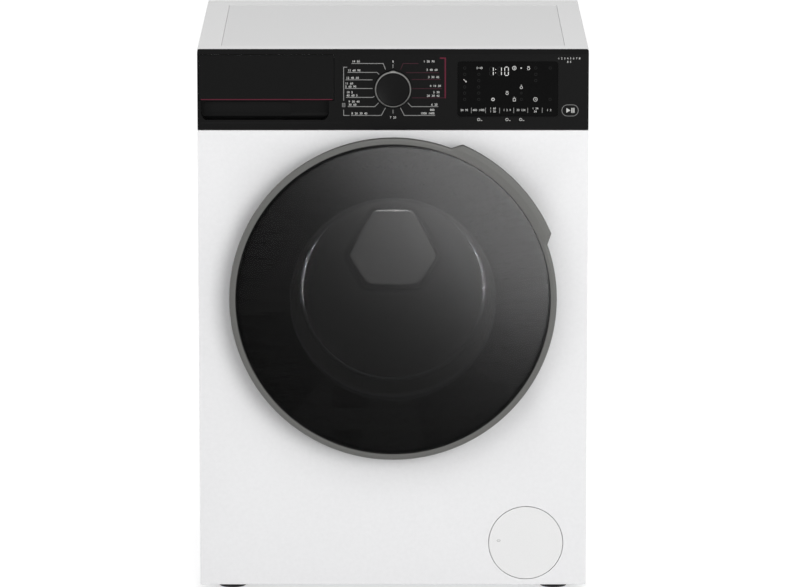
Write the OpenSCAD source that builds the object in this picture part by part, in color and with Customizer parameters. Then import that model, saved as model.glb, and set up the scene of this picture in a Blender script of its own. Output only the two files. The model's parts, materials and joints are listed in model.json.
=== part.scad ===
// Free-standing washer dryer, front loading.
// Each piece is drawn lying on its back: x to the right, y up the front and z into the cabinet.
// stand() sets it upright, with the origin on the floor under the middle of the machine.

/* [Cabinet] */
// Width of the cabinet
body_w = 598; // [590:1:620]
// Height from the floor to the worktop
body_h = 850; // [840:1:870]
// Depth from the front panel's face to the worktop's rear edge
body_d = 560; // [550:1:600]
// Height of the cabinet's lower edge over the floor
floor_gap = 12; // [10:0.5:16]
// Thickness of the steel sheet
sheet_t = 1; // [0.8:0.1:1.4]
// Depth of the front panel's folded edge
fold_d = 14; // [10:0.5:18]
// Width of the side panels' front flange
flange_w = 22; // [16:1:28]
// How far the rear panel lies in front of the worktop's rear edge
rear_inset = 14; // [13:0.5:20]
// Clearance between pieces that are screwed together
seat_gap = 0.3; // [0.2:0.05:0.5]

/* [Worktop] */
// Height of the worktop's frame
worktop_h = 28; // [24:1:34]
// Thickness of the worktop's board
board_t = 12; // [8:1:15]
// Width of the frame at each side of the board
board_side = 35.5; // [25:0.5:50]
// Distance from the front panel's face to the board
board_front = 44; // [30:1:60]
// Distance from the board to the worktop's rear edge
board_rear = 60; // [40:1:80]
// Wall of the worktop's frame
frame_wall = 3; // [2:0.5:4]
// Width of the ledge under the board
ledge_w = 15; // [8:1:20]

/* [Base and feet] */
// Height of the base frame's upright edge
base_h = 22; // [16:1:28]
// Thickness of the base frame's steel
base_t = 1.5; // [1:0.1:2.5]
// Width of the base frame's flat edge
base_flange = 62; // [55:1:70]
// Distance of a foot's axis from the side of the cabinet
foot_side = 49; // [40:1:55]
// Distance of the front feet's axis from the front
foot_front = 50; // [42:1:60]
// Distance of the rear feet's axis from the rear edge
foot_rear = 50; // [42:1:60]
// Radius of a foot's pad
foot_r = 22; // [16:1:25]
// Radius of a foot's threaded shank
shank_r = 5; // [4:0.5:6]
// Radius of the boss that a foot screws into
foot_boss_r = 12; // [9:0.5:14]
// Running clearance of shafts and pins, on the radius
run_gap = 0.05; // [0.03:0.01:0.08]

/* [Fascia] */
// Height of the control fascia
fascia_h = 123.3; // [118:0.1:128]
// Wall of the fascia moulding
fascia_t = 2.5; // [2:0.1:3]
// Gap between the fascia and the front panel
fascia_gap = 1.2; // [0.8:0.1:2]
// Height of the sloped upper edge
chamfer_h = 7; // [4:0.5:9]
// Depth of the sloped upper edge
chamfer_d = 7; // [4:0.5:9]
// Depth of the fascia's level upper edge
fascia_lip = 1.6; // [1:0.1:2.5]
// Radius of the fascia's upper corners
fascia_corner = 3; // [0.5:0.1:6]
// Distance of the display window from the fascia's right end
window_side = 46.9; // [40:0.1:60]
// Width of the display window
window_w = 153.4; // [130:0.1:160]
// Height of the display window
window_h = 84.8; // [70:0.1:90]
// Height of the window's lower edge over the fascia's lower edge
window_low = 20.2; // [14:0.1:26]
// Thickness of the display window
window_t = 1.5; // [1:0.1:1.8]
// Clearance round the window and the drawer's front
trim_gap = 0.5; // [0.3:0.1:0.8]

/* [Programme knob] */
// Height of the knob's axis over the fascia's lower edge
knob_low = 62.7; // [58:0.1:66]
// Radius of the knob
knob_r = 27.8; // [24:0.1:30]
// How far the knob stands out
knob_proud = 8; // [6:0.5:24]
// Width of the bright ring on the knob's face
knob_ring = 2.3; // [2:0.1:4]
// Radius of the knob's shaft
knob_shaft_r = 3; // [2.5:0.1:4]
// Gap behind the knob
knob_gap = 1; // [0.5:0.1:1.5]

/* [Detergent drawer] */
// Width of the drawer's front
drawer_w = 206.6; // [180:0.1:210]
// Height of the drawer's front
drawer_h = 70.2; // [60:0.1:74]
// Height of the finger recess under the drawer
grip_h = 32; // [26:0.5:35]
// Width of the finger recess
grip_w = 196; // [160:1:200]
// Depth of the finger recess
grip_d = 24; // [18:0.5:28]
// Distance from the drawer's tray to the springs behind it
tray_room = 58; // [44:1:90]
// Height of the drawer's tray
tray_h = 50; // [44:1:52]
// Wall of the tray
tray_t = 1.6; // [1.2:0.1:2]
// Running clearance round the tray
tray_gap = 3; // [2:0.5:4]
// Wall of the dispenser's housing
housing_t = 2.5; // [2:0.1:3]

/* [Door] */
// Height of the door's centre over half the machine's height
door_lift = 43.7; // [36:0.1:50]
// Radius of the door's trim ring
ring_r = 251; // [245:0.1:254]
// Width of the trim ring round the glass
ring_w = 9.6; // [8:0.1:12]
// How far the door stands out at its middle
door_proud = 42; // [40:0.5:46]
// Rise of the glass from its rim to its middle
glass_dome = 1.8; // [0.5:0.1:3]
// Thickness of the glass at its rim
glass_t = 4; // [3:0.1:5]
// Gap between the closed door and the front panel
door_gap = 4.5; // [4:0.5:6]
// How much the ring's wall draws in towards the cabinet
ring_taper = 9.5; // [5:0.5:11]
// Wall of the trim ring
ring_t = 2.6; // [2:0.1:3.5]
// Outer radius of the handle's edge
handle_r = 263; // [259:0.5:268]
// Angle at which the handle starts, anticlockwise from the right
handle_from = 19.9; // [15:0.1:25]
// Angle at which the handle ends
handle_to = 69.2; // [60:0.1:75]
// Angle that each of the handle's sloped ends takes
handle_slope = 3.1; // [2:0.1:4]
// Thickness of the handle's edge
handle_t = 15; // [8:0.5:17]
// Radius of the bowl at its flange
bowl_r = 165; // [160:0.5:166]
// Radius of the bowl at its inner bend
bowl_end_r = 142; // [136:0.5:146]
// Depth of the bowl's bend behind the front panel's face
bowl_d = 50; // [44:0.5:52]
// Rise of the bowl's end over its bend
bowl_dome = 16; // [8:0.5:18]
// Thickness of the bowl's glass
bowl_t = 4; // [3:0.1:5]

/* [Hinge and latch] */
// Distance of the hinge's axis from the door's middle
hinge_x = 238; // [236:0.1:239]
// How far the hinge's axis stands out from the front panel
hinge_out = 23; // [22:0.1:23.5]
// Radius of the hinge's knuckle
knuckle_r = 6; // [5:0.1:6.5]
// Radius of the hinge's pin
hinge_pin_r = 3; // [2.5:0.1:3.5]
// Half the length of the middle knuckle
knuckle_half = 29; // [22:0.5:32]
// Height of each outer knuckle
ear_h = 8; // [6:0.5:10]
// Half the height of the hinge's pocket in the door
pocket_half = 50; // [44:0.5:56]
// Distance of the latch's hook from the door's middle
hook_x = 212; // [209:0.1:214]
// How far the hook reaches behind the front panel's face
hook_reach = 14; // [12:0.5:15]
// Thickness of the hook
hook_t = 6; // [4:0.5:7]

/* [Porthole and flap] */
// Radius at which the front panel is drawn in round the porthole
dish_r = 200; // [196:0.5:202]
// Depth of the drawn-in edge
dish_d = 8; // [6:0.5:9]
// Radius of the porthole
hole_r = 176; // [174:0.5:178]
// Distance of the filter flap's centre from the cabinet's side
flap_side = 93.2; // [89:0.1:99]
// Height of the filter flap's centre
flap_up = 78.3; // [76:0.1:84]
// Radius of the filter flap
flap_r = 57; // [52:0.1:58]
// Gap round the flap
flap_gap = 0.9; // [0.8:0.05:1.2]
// Thickness of the flap
flap_t = 2.5; // [2:0.1:3]
// Distance of the flap's hinge pin beyond its edge
flap_hinge_out = 7; // [6.8:0.1:8]

/* [Drum and tub] */
// Gap between the drum and the tub's outside
drum_gap = 27; // [25:0.5:34]
// Depth of the drum's front edge behind the front panel's face
drum_front = 70; // [68:0.5:74]
// Distance from the drum's back to the tub's rear face
drum_end = 40; // [36:1:58]
// Radius of the drum's opening
drum_mouth = 168; // [164:0.5:172]
// Thickness of the drum's sheet
drum_t = 1; // [0.6:0.1:1.2]
// Height of the lifters
lifter_h = 55; // [35:1:60]
// Number of lifters
lifters = 3; // [2:1:4]
// Distance of the tub from the cabinet's side
tub_side = 27; // [24:0.5:29]
// Wall of the tub
tub_t = 3.5; // [3:0.1:4.5]
// Depth of the tub's seam behind the front panel's face
seam_d = 160; // [140:1:180]
// Depth of the tub's front wall
tub_front = 58; // [56:0.5:60]
// Distance from the tub's rear face to the rear panel
drive_room = 118; // [116:0.5:120]
// Length of the tub's neck that the gasket grips
neck_len = 14; // [10:0.5:16]

/* [Drive] */
// Radius of the drum's pulley
pulley_r = 140; // [120:0.5:145]
// Radius of the motor's pulley
pinion_r = 10; // [8:0.5:12]
// Distance of the motor's axis to the left of the drum's
motor_x = 110; // [100:1:115]
// Gap between the motor and the tub
motor_gap = 14.1; // [12:0.1:18]
// Radius of the motor
motor_r = 70; // [60:0.5:72]
// Length of the motor
motor_len = 125; // [110:1:130]
// Width of the belt
belt_w = 14; // [10:0.5:16]
// Thickness of the belt
belt_t = 4; // [3:0.1:5]
// Radius of the drum's shaft in its front bearing
shaft_r = 15; // [13:0.5:16]
// Wall of the bearings
bearing_wall = 14; // [10:0.5:15]

/* [Suspension] */
// Distance of the springs from the cabinet's side
spring_side = 31; // [27:0.5:33]
// Distance from the springs to the tub's rear face
spring_back = 108; // [98:0.5:112]
// Radius of a spring's coil at the wire's middle
coil_r = 7.5; // [6:0.1:8]
// Radius of the spring's wire
wire_r = 1.6; // [1.2:0.1:1.8]
// Curls of one spring
curls = 14; // [8:1:16]
// Length of one spring
spring_len = 150; // [130:1:160]
// Radius of a damper's cylinder
damper_r = 17; // [14:0.5:19]
// Radius of a damper's rod
rod_r = 6; // [5:0.5:7]
// Radius of the dampers' pins
damper_pin_r = 5; // [4:0.5:6]
// Play of the damper's rod on the tub's pin, on the radius
pin_play = 0.6; // [0.5:0.05:0.8]

/* [Rear connections] */
// Radius of the water inlet's thread
inlet_r = 13.2; // [12:0.1:14]
// Distance of the water inlet from the cabinet's side
inlet_side = 69; // [59:1:84]
// Distance of the water inlet below the worktop's upper face
inlet_below = 66; // [66:0.5:67]
// Radius of the drain's spigot
drain_r = 10; // [8:0.5:11]
// Distance of the drain's spigot from the cabinet's side
drain_side = 37; // [34:1:44]
// Height of the drain's spigot
drain_up = 60; // [56:1:66]
// Radius of the bore for the mains lead
lead_r = 4.5; // [3.5:0.1:5.5]

/* [Hidden] */
$fn = 72;

// Far enough to cut right through any piece
far = 1000;
// How far a cut runs past the face it opens
past = 1;

// The whole machine's depth, halved by the origin
front_y = -(body_d - door_proud) / 2;
half_w = body_w / 2;
fascia_low = body_h - fascia_h;
panel_top = fascia_low - fascia_gap;
side_front = fold_d + 0.5;
rear_d = body_d - rear_inset;
side_top = body_h - worktop_h - 0.5;
inner_x = half_w - sheet_t;
inner_rear = rear_d - 2 * seat_gap - sheet_t;

// Places that follow the cabinet's size, each by the distance that has its name
door_up = body_h / 2 + door_lift;
tub_r = half_w - tub_side;
drum_r = tub_r - drum_gap;
tub_rear = rear_d - drive_room;
spring_x = half_w - spring_side;
spring_d = tub_rear - spring_back;
tray_d = spring_d - tray_room;
flap_x = half_w - flap_side;
inlet_x = half_w - inlet_side;
inlet_up = body_h - inlet_below;
drain_x = half_w - drain_side;
motor_up = door_up - sqrt(pow(tub_r + motor_r + motor_gap, 2) - pow(motor_x, 2));

// Half the height of a circle of radius r about the drum's axis, at a distance x from its middle
function half_chord(r, x) = sqrt(pow(r, 2) - pow(x, 2));

// The two ends of a span, given as their distances from a place
function span(at, low, high) = [at + low, at + high];

// The chamfer's foot, over which only the fascia's own edge runs
chamfer_low = body_h - chamfer_h;
window_x = half_w - window_side - window_w;
window_y = fascia_low + window_low;
knob_y = fascia_low + knob_low;

// The drawer hangs under the chamfer, close to the left side
drawer_x = -half_w + 2.2;
drawer_right = drawer_x + drawer_w;
drawer_top = chamfer_low - 1;
drawer_low = drawer_top - drawer_h;
grip_x = -half_w + 5;
grip_low = drawer_low - trim_gap - grip_h;
tray_x0 = drawer_x + 12;
tray_x1 = drawer_right - 12;
tray_y0 = drawer_low + 3;
tray_y1 = tray_y0 + tray_h;
tray_z0 = fascia_t;
tray_z1 = tray_z0 + tray_d;
housing_z0 = grip_d + fascia_t + 2;
housing_z1 = tray_z1 + tray_gap + housing_t;
housing_x0 = tray_x0 - tray_gap - housing_t;
housing_x1 = tray_x1 + tray_gap + housing_t;
housing_y0 = tray_y0 - tray_gap - housing_t;
housing_y1 = tray_y1 + tray_gap + housing_t;
sump_y = housing_y0 - 22;
hose_x = -half_w + 99;
hose_z = tray_z1 - 14.5;

// The door from its front to its back, as depths behind the front panel's face
glass_front = -door_proud + glass_dome;
glass_back = glass_front + glass_t;
glass_r = ring_r - ring_w;
ring_back = -door_gap;
frame_r = ring_r - ring_taper - ring_t - 0.5;
frame_front = glass_back + 2.4;
frame_back = -door_gap + 0.5;
frame_t = 2.5;
pocket_floor = -hinge_out - knuckle_r - 2;
frame_hole = bowl_r + 0.4;
hook_pin_r = 2.5;
hook_pin_z = -16;
latch_half = 12;
latch_x0 = hook_x - 12;
latch_x1 = hook_x + 9;

// The filter flap turns on a pin beyond its right edge, round which its two arms reach
flap_hinge_x = flap_x + flap_r + flap_hinge_out;
flap_hinge_z = 3.2;
flap_pin_r = 1.5;
flap_arm_end = 12;
flap_arm_w = 4;
flap_arm_reach = 8.2;
flap_arm_t = 2.2;
surround_d = 14;
filter_r = 22;
pump_r = 34;
pump_z0 = 30;
pump_z1 = 150;

// The drum, its shaft and the drive
drum_back = tub_rear - drum_end;
drum_in = drum_r - drum_t;
spider_z = drum_back + 3;
hub_r = 35;
hub_z = tub_rear - tub_t - 2.5;
neck_r = hole_r + 8;
tub_face = tub_front - tub_t;
neck_front = tub_face - neck_len;
bearing_z = tub_rear + 2;
bearing_w = 16;
rear_bearing_z = bearing_z + bearing_w + 6;
rear_shaft_r = shaft_r - 2.5;
boss_end = rear_bearing_z + bearing_w + 2;
pulley_z = boss_end + 5;
pulley_w = belt_w + 6;
belt_gap = 0.3;
motor_z = pulley_z - 20 - motor_len;
motor_at = [-motor_x, motor_up - door_up];
motor_way = atan2(motor_at[1], motor_at[0]);
motor_far = norm(motor_at);

// The braces under the worktop, and under them the dryer's air circuit at the tub's upper right
brace_h = 20;
brace_y = side_top - brace_h - 3;
duct_x = span(half_w, -134, -64);
duct_y = [door_up + half_chord(tub_r, duct_x[0]) + 23, brace_y - 33.5];
fan_r = 58;
fan_at = [half_w - 104, tub_rear - 43];
fan_y = [door_up + half_chord(tub_r, fan_at[0] - fan_r) + 10.3, brace_y - 26.5];
fan_h = fan_y[1] - fan_y[0];
condenser_z = tub_rear + 19;
condenser_x = span(half_w, -103, -37);

// Springs and dampers
brace_w = 30;
spring_top = brace_y - 13;
spring_low = spring_top - spring_len;
ear_top = spring_low - seat_gap;
damper_z = tub_rear - 138;
damper_foot = [half_w - 84, 48];
damper_head = [half_w - 134, door_up - half_chord(tub_r + 23.96, half_w - 134)];
damper_len = norm(damper_head - damper_foot);
damper_turn = atan2(damper_foot[0] - damper_head[0], damper_head[1] - damper_foot[1]);
cylinder_len = 105;

// Left normal of the step from one point to the next
function side_of(a, b) = [a[1] - b[1], b[0] - a[0]] / norm(b - a);

// Mitred direction in which point i of a path moves when the path is thickened
function mitre(p, i) =
    let (last = len(p) - 1)
    let (before = side_of(p[max(i - 1, 0)], p[max(i, 1)]))
    let (after = side_of(p[min(i, last - 1)], p[min(i + 1, last)]))
    (before + after) / (1 + before * after);

// Outline of a wall of thickness t that lies on the left of a path
function wall(p, t) = concat(p, [for (i = [len(p) - 1:-1:0]) p[i] + t * mitre(p, i)]);

// Points of an arc about c, from angle a to angle b
function arc(c, r, a, b, n = 6) =
    [for (i = [0:n]) c + r * [cos(a + (b - a) * i / n), sin(a + (b - a) * i / n)]];

function polar(r, a) = [r * cos(a), r * sin(a)];

// Turns a thickened path about the axis, with the axis as its limit
module turn_wall(p, t)
    rotate_extrude() polygon([for (q = wall(p, t)) [max(q[0], 0), q[1]]]);

// Sets a piece upright in the machine's frame
module stand() translate([0, front_y, 0]) mirror([0, 1, -1]) children();

// Extrudes a section drawn as depth and height along x
module across(x, w) translate([x, 0, 0]) mirror([1, 0, -1]) linear_extrude(w) children();

// Extrudes a plan drawn as x and depth upwards
module upward(y, h) translate([0, y, 0]) mirror([0, 1, -1]) linear_extrude(h) children();

// Extrudes a front view into the cabinet
module inward(z, d) translate([0, 0, z]) linear_extrude(d) children();

// A box between two values each way
module block(x, y, z)
    translate([x[0], y[0], z[0]]) cube([x[1] - x[0], y[1] - y[0], z[1] - z[0]]);

// A rectangle between two values each way
module area(x, y) translate([x[0], y[0]]) square([x[1] - x[0], y[1] - y[0]]);

// A rectangle with round corners, exact
module round_area(x, y, r) {
    area([x[0] + r, x[1] - r], y);
    area(x, [y[0] + r, y[1] - r]);
    for (cx = [x[0] + r, x[1] - r], cy = [y[0] + r, y[1] - r])
        translate([cx, cy]) circle(r = r);
}

// Round bars into the cabinet, up, and to the right
module bar_in(x, y, z, r) translate([x, y, z[0]]) cylinder(r = r, h = z[1] - z[0]);
module bar_up(x, y, z, r)
    translate([x, y[0], z]) rotate([-90, 0, 0]) cylinder(r = r, h = y[1] - y[0]);
module bar_over(x, y, z, r)
    translate([x[0], y, z]) rotate([0, 90, 0]) cylinder(r = r, h = x[1] - x[0]);

// Places a turned piece on the drum's axis, which is the door's too
module on_axis() translate([0, door_up, 0]) children();

// Base frame: a pressed tray with bosses for the feet and forks for the dampers
foot_places = [for (x = [-1, 1], z = [foot_front, body_d - foot_rear]) [x * (half_w - foot_side), z]];
base_x = inner_x - seat_gap;
base_y = floor_gap + 1;
base_z = [side_front + sheet_t + seat_gap, inner_rear];
fork_gap = 12;
fork_t = 5;

module base_frame() color("dimgray") stand() difference() {
    union() {
        difference() {
            block([-base_x, base_x], [base_y, base_y + base_h], base_z);
            block([-base_x + base_t, base_x - base_t], [base_y + base_t, far],
                [base_z[0] + base_t, base_z[1] - base_t]);
            block([-base_x + base_flange, base_x - base_flange], [0, far],
                [base_z[0] + base_flange, base_z[1] - base_flange]);
        }
        for (at = foot_places) bar_up(at[0], [base_y, base_y + base_h], at[1], foot_boss_r);
        block([-base_x, base_x], [base_y, base_y + base_t],
            [damper_z - base_flange / 2, damper_z + base_flange / 2]);
        for (side = [-1, 1]) {
            for (z = [damper_z - fork_gap - fork_t, damper_z + fork_gap])
                inward(z, fork_t) damper_cheek(side);
            bar_in(side * damper_foot[0], damper_foot[1],
                [damper_z - fork_gap - fork_t, damper_z + fork_gap + fork_t], damper_pin_r);
        }
    }
    for (at = foot_places) bar_up(at[0], [0, far], at[1], shank_r + run_gap);
}

module damper_cheek(side) translate([side * damper_foot[0], 0]) {
    translate([0, damper_foot[1]]) circle(r = damper_pin_r + 7);
    area([-damper_pin_r - 7, damper_pin_r + 7], [base_y, damper_foot[1]]);
}

// Feet: a rubber pad on a threaded shank
module foot(at) color("black") stand() translate([at[0], 0, at[1]]) rotate([-90, 0, 0]) {
    rotate_extrude() polygon([[0, 0], [foot_r - 1.5, 0], [foot_r, 2], [foot_r, 5],
        [foot_r * 0.6, floor_gap - 2], [0, floor_gap - 2]]);
    cylinder(r = shank_r, h = base_y + base_h + 13);
}

module foot_front_left() foot(foot_places[0]);
module foot_rear_left() foot(foot_places[1]);
module foot_front_right() foot(foot_places[2]);
module foot_rear_right() foot(foot_places[3]);

// Side panels: steel sheets folded inwards at the front and at the rear
side_z = [side_front, rear_d - seat_gap];
flange_top = panel_top - 4;

module side_panel() color("whitesmoke") stand() {
    block([inner_x, half_w], [floor_gap, side_top], side_z);
    block([half_w - flange_w, half_w], [floor_gap, flange_top], [side_z[0], side_z[0] + sheet_t]);
    block([half_w - flange_w, half_w], [floor_gap, side_top], [side_z[1] - sheet_t, side_z[1]]);
}

module right_side_panel() side_panel();
module left_side_panel() mirror([1, 0, 0]) side_panel();

// Front panel: a sheet with folded edges, drawn in round the porthole
slot_x = [hook_x - 8, hook_x + 8];
slot_half = 16;

module front_panel() color("white") stand() {
    inward(0, sheet_t) difference() {
        area([-half_w, half_w], [floor_gap, panel_top]);
        translate([0, door_up]) circle(r = dish_r);
        translate([flap_x, flap_up]) circle(r = flap_r + flap_gap);
        area(slot_x, [door_up - slot_half, door_up + slot_half]);
    }
    for (side = [-1, 1])
        translate([side > 0 ? half_w - sheet_t : -half_w, 0, 0])
            block([0, sheet_t], [floor_gap, panel_top], [0, fold_d]);
    for (y = [floor_gap, panel_top - sheet_t])
        block([-half_w, half_w], [y, y + sheet_t], [0, fold_d - 2]);
    on_axis() rotate_extrude() polygon(wall([[hole_r, dish_d + sheet_t],
        [dish_r - 14, dish_d + sheet_t], [dish_r - 1, sheet_t], [dish_r + 2, sheet_t]], -sheet_t));
}

// Rear panel: a sheet with a large service opening and the holes of the connections
cover_x = 150;
cover_y = span(door_up, -168.7, 181.3);
transit_places = [for (x = [94 - half_w, half_w - 94], y = span(door_up, -138.7, 141.3))
    [x, y]];
transit_r = 14;
gland_at = [half_w - 69, side_top - 51.5];
gland_r = 9;

module rear_panel() color("gainsboro") stand() inward(rear_d, sheet_t) difference() {
    area([-half_w + 0.5, half_w - 0.5], [floor_gap, side_top]);
    round_area([-cover_x + 12, cover_x - 12], cover_y + [12, -12], 40);
    for (at = transit_places) translate(at) circle(r = transit_r);
    translate([-inlet_x, inlet_up]) circle(r = inlet_r + 2);
    translate([drain_x, drain_up]) circle(r = drain_r + 1);
    translate(gland_at) circle(r = gland_r);
}

module rear_service_cover() color("gainsboro") stand() {
    z = rear_d + sheet_t;
    difference() {
        union() {
            inward(z, sheet_t) round_area([-cover_x, cover_x], cover_y, 50);
            on_axis() rotate_extrude() polygon(wall([[0, z + 9], [100, z + 9], [112, z + 6],
                [122, z], [126, z]], -sheet_t) );
        }
        bar_in(0, door_up, [z - past, z + 5], 112);
    }
}

// Caps of the four transit bolts' holes and the gland of the mains lead
module rear_grommets() color("black") stand() {
    for (at = transit_places) translate([at[0], at[1], 0]) {
        bar_in(0, 0, [rear_d - 8, rear_d + sheet_t + 2], transit_r - 0.2);
        bar_in(0, 0, [rear_d + sheet_t, rear_d + sheet_t + 2], transit_r + 4);
    }
    difference() {
        union() {
            bar_in(gland_at[0], gland_at[1], [rear_d - 14, rear_d + sheet_t + 11], gland_r - 0.2);
            bar_in(gland_at[0], gland_at[1], [rear_d + sheet_t, rear_d + sheet_t + 4], gland_r + 4);
        }
        bar_in(gland_at[0], gland_at[1], [0, far], lead_r);
    }
}

// Braces between the side panels, the middle one carrying the springs
brace_zs = [spring_d - brace_w / 2, inner_rear - brace_w];

module top_braces() color("silver") stand() {
    for (z = brace_zs) difference() {
        block([-base_x, base_x], [brace_y, brace_y + brace_h], [z, z + brace_w]);
        block([-far, far], [brace_y + base_t, far], [z + base_t, z + brace_w - base_t]);
    }
    for (side = [-1, 1]) difference() {
        block([side * spring_x - 1.5, side * spring_x + 1.5], [spring_top, brace_y + past],
            [spring_d - 9, spring_d + 9]);
        bar_over([-far, far], spring_top + 6, spring_d, 3);
    }
}

// Worktop: a moulded frame round a thin board
board_x = half_w - board_side;
board_z = [board_front, body_d - board_rear];
top_z = chamfer_d + fascia_lip + seat_gap;

module worktop_frame() color("white") stand() difference() {
    block([-half_w, half_w], [body_h - worktop_h, body_h], [top_z, body_d]);
    block([-half_w + frame_wall, half_w - frame_wall],
        [0, body_h - board_t - frame_wall], [top_z + frame_wall, body_d - frame_wall]);
    block([-board_x, board_x], [body_h - board_t, far], board_z);
    block([-board_x + ledge_w, board_x - ledge_w], [0, far], board_z + [ledge_w, -ledge_w]);
    block([-half_w + frame_wall, half_w - frame_wall], [0, chamfer_low + 1], [0, top_z + frame_wall + past]);
    block([-far, far], [body_h - 1.2, far], [body_d - 25, body_d - 23]);
}

module worktop_board() color("white") stand()
    block([-board_x + seat_gap, board_x - seat_gap], [body_h - board_t, body_h - 0.3],
        board_z + [seat_gap, -seat_gap]);

// Fascia: a moulded shell with openings for the drawer, the fingers and the window
fascia_side = [[12, fascia_low], [0, fascia_low], [0, chamfer_low], [chamfer_d, body_h],
    [chamfer_d + fascia_lip, body_h]];
aperture_x = [drawer_x - trim_gap, drawer_right + trim_gap];
aperture_y = [drawer_low - trim_gap, drawer_top + trim_gap];

module finger_scoop() intersection() {
    across(grip_x, grip_w) polygon(concat([[-past, grip_low + 3], [4, grip_low]],
        arc([grip_d - 12, grip_low + 12], 12, -90, 0, 5), [[grip_d, far], [-past, far]]));
    inward(-past, far) round_area([grip_x, grip_x + grip_w], [grip_low, drawer_top], 15);
}

module control_fascia() color("#1d1d1d") stand() difference() {
    intersection() {
        union() {
            across(-half_w, body_w) polygon(wall(fascia_side, -fascia_t));
            for (x = [-half_w, half_w - fascia_t])
                across(x, fascia_t) polygon(concat(fascia_side,
                    [[chamfer_d + fascia_lip, side_top], [12, side_top - 3]]));
            block([grip_x - 2, grip_x + grip_w + 3], [grip_low - 3, aperture_y[0]],
                [0, grip_d + fascia_t]);
        }
        inward(-past, far) round_area([-half_w, half_w], [fascia_low - 20, body_h],
            fascia_corner);
    }
    block(aperture_x, aperture_y, [-past, far]);
    finger_scoop();
    inward(-past, window_t + past) round_area([window_x - 0.2, window_x + window_w + 0.2],
        [window_y - 0.2, window_y + window_h + 0.2], 4.2);
    block([window_x + 8, window_x + window_w - 8], [window_y + 8, window_y + window_h - 8],
        [-past, far]);
    bar_in(0, knob_y, [-past, far], knob_shaft_r + 0.4);
}

module display_window() color("#121212") stand()
    inward(0, window_t) round_area([window_x, window_x + window_w],
        [window_y, window_y + window_h], 4);

// Control board with its display, its knob switch and four pillars
board_at = [[-30, half_w - 37], [fascia_low + 12, side_top - 3]];
pcb_z = 14;

module control_board() color("darkgreen") stand() difference() {
    union() {
        block(board_at[0], board_at[1], [pcb_z, pcb_z + 1.6]);
        block([window_x + 14, window_x + window_w - 14], [window_y + 14, window_y + window_h - 14],
            [window_t + seat_gap, pcb_z]);
        block([-9, 9], [knob_y - 9, knob_y + 9], [fascia_t + seat_gap, pcb_z]);
        for (x = [board_at[0][0] + 6, board_at[0][1] - 3], y = [board_at[1][0] + 4, board_at[1][1] - 4])
            bar_in(x, y, [fascia_t + seat_gap, pcb_z], 3);
        for (x = [30, 52, 72]) block([x, x + 14], [knob_y - 12, knob_y + 10], [pcb_z, pcb_z + 14]);
    }
    bar_in(0, knob_y, [0, pcb_z + past * 3], knob_shaft_r + run_gap);
}

// Programme knob: turned, with a bright ring and a pointer on its edge
module programme_knob() color("#242424") stand() translate([0, knob_y, 0]) {
    mirror([0, 0, 1]) rotate_extrude() polygon([[0, knob_gap], [knob_r, knob_gap],
        [knob_r - 0.6, knob_proud - 1], [knob_r - 1.4, knob_proud],
        [knob_r - knob_ring, knob_proud], [knob_r - knob_ring - 0.6, knob_proud - 1],
        [0, knob_proud - 1]]);
    bar_in(0, 0, [-knob_gap - past, pcb_z + 1], knob_shaft_r);
    block([-1.5, 1.5], [knob_r - 2, knob_r + 1.2], [-knob_proud + 1, -knob_gap]);
}

// Detergent drawer: a front, a tray with three wells and a siphon cap
tray_x = [tray_x0, tray_x1];
tray_y = [tray_y0, tray_y1];
tray_z = [tray_z0, tray_z1];
well_w = (tray_x1 - tray_x0 - 4 * tray_t) / 3;

module drawer_front() color("#1d1d1d") stand() {
    block([drawer_x, drawer_right], [drawer_low, drawer_top], [0, fascia_t]);
    block([drawer_x + 10, drawer_right - 10], [drawer_low, drawer_low + 2.5], [0, 9]);
}

module drawer_tray() color("lightgray") stand() difference() {
    block(tray_x, tray_y, tray_z);
    for (n = [0:2]) {
        x = tray_x0 + tray_t + n * (well_w + tray_t);
        low = tray_y0 + (n == 1 ? 14 : tray_t * 1.5);
        block([x, x + well_w], [low, far], [tray_z0 + 12, tray_z1 - 12]);
    }
    block([tray_x0 - past, tray_x1 + past], [tray_y0 - past, tray_y0 + 2.5 + tray_t], [0, 10]);
}

module siphon_cap() color("steelblue") stand() difference() {
    x = tray_x0 + 2 * tray_t + well_w + seat_gap;
    block([x, x + well_w - 2 * seat_gap], [tray_y0 + 34, tray_y1 - 2],
        [tray_z1 - 100, tray_z1 - 12 - seat_gap]);
    block([x + 2, x + well_w - 2 - 2 * seat_gap], [0, tray_y1 - 4],
        [tray_z1 - 98, tray_z1 - 14 - seat_gap]);
}

// Dispenser housing: a box open to the front, with a sump that empties to the tub
module dispenser_housing() color("lightgray") stand() difference() {
    union() {
        block([housing_x0, housing_x1], [housing_y0, housing_y1], [housing_z0, housing_z1]);
        across(hose_x - 30, 60) polygon([[hose_z - 60, housing_y0 + past], [hose_z - 24, sump_y],
            [hose_z + 24, sump_y], [hose_z + 30, housing_y0 + past]]);
        bar_up(hose_x, [sump_y - 18, sump_y + past], hose_z, 14);
    }
    block([housing_x0 + housing_t, housing_x1 - housing_t],
        [housing_y0 + housing_t, housing_y1 - housing_t], [0, housing_z1 - housing_t]);
    bar_up(hose_x, [0, housing_y0 + past * 3], hose_z, 11);
}

module dispenser_hose() color("black") stand() translate([hose_x, 0, hose_z])
    rotate([-90, 0, 0]) difference() {
        union() {
            translate([0, 0, hose_y[0]]) cylinder(r = 17, h = hose_y[1] - hose_y[0]);
            for (n = [1:3]) translate([0, 0, hose_y[0] + n * (hose_y[1] - hose_y[0]) / 4 - 2])
                cylinder(r = 20, h = 4);
        }
        cylinder(r = 14.3, h = far);
    }

tub_low_hose = door_up + half_chord(tub_r, hose_x) - 13;
tub_hose_top = tub_low_hose + 45;
hose_y = [tub_hose_top - 14, sump_y - 2];

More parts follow.
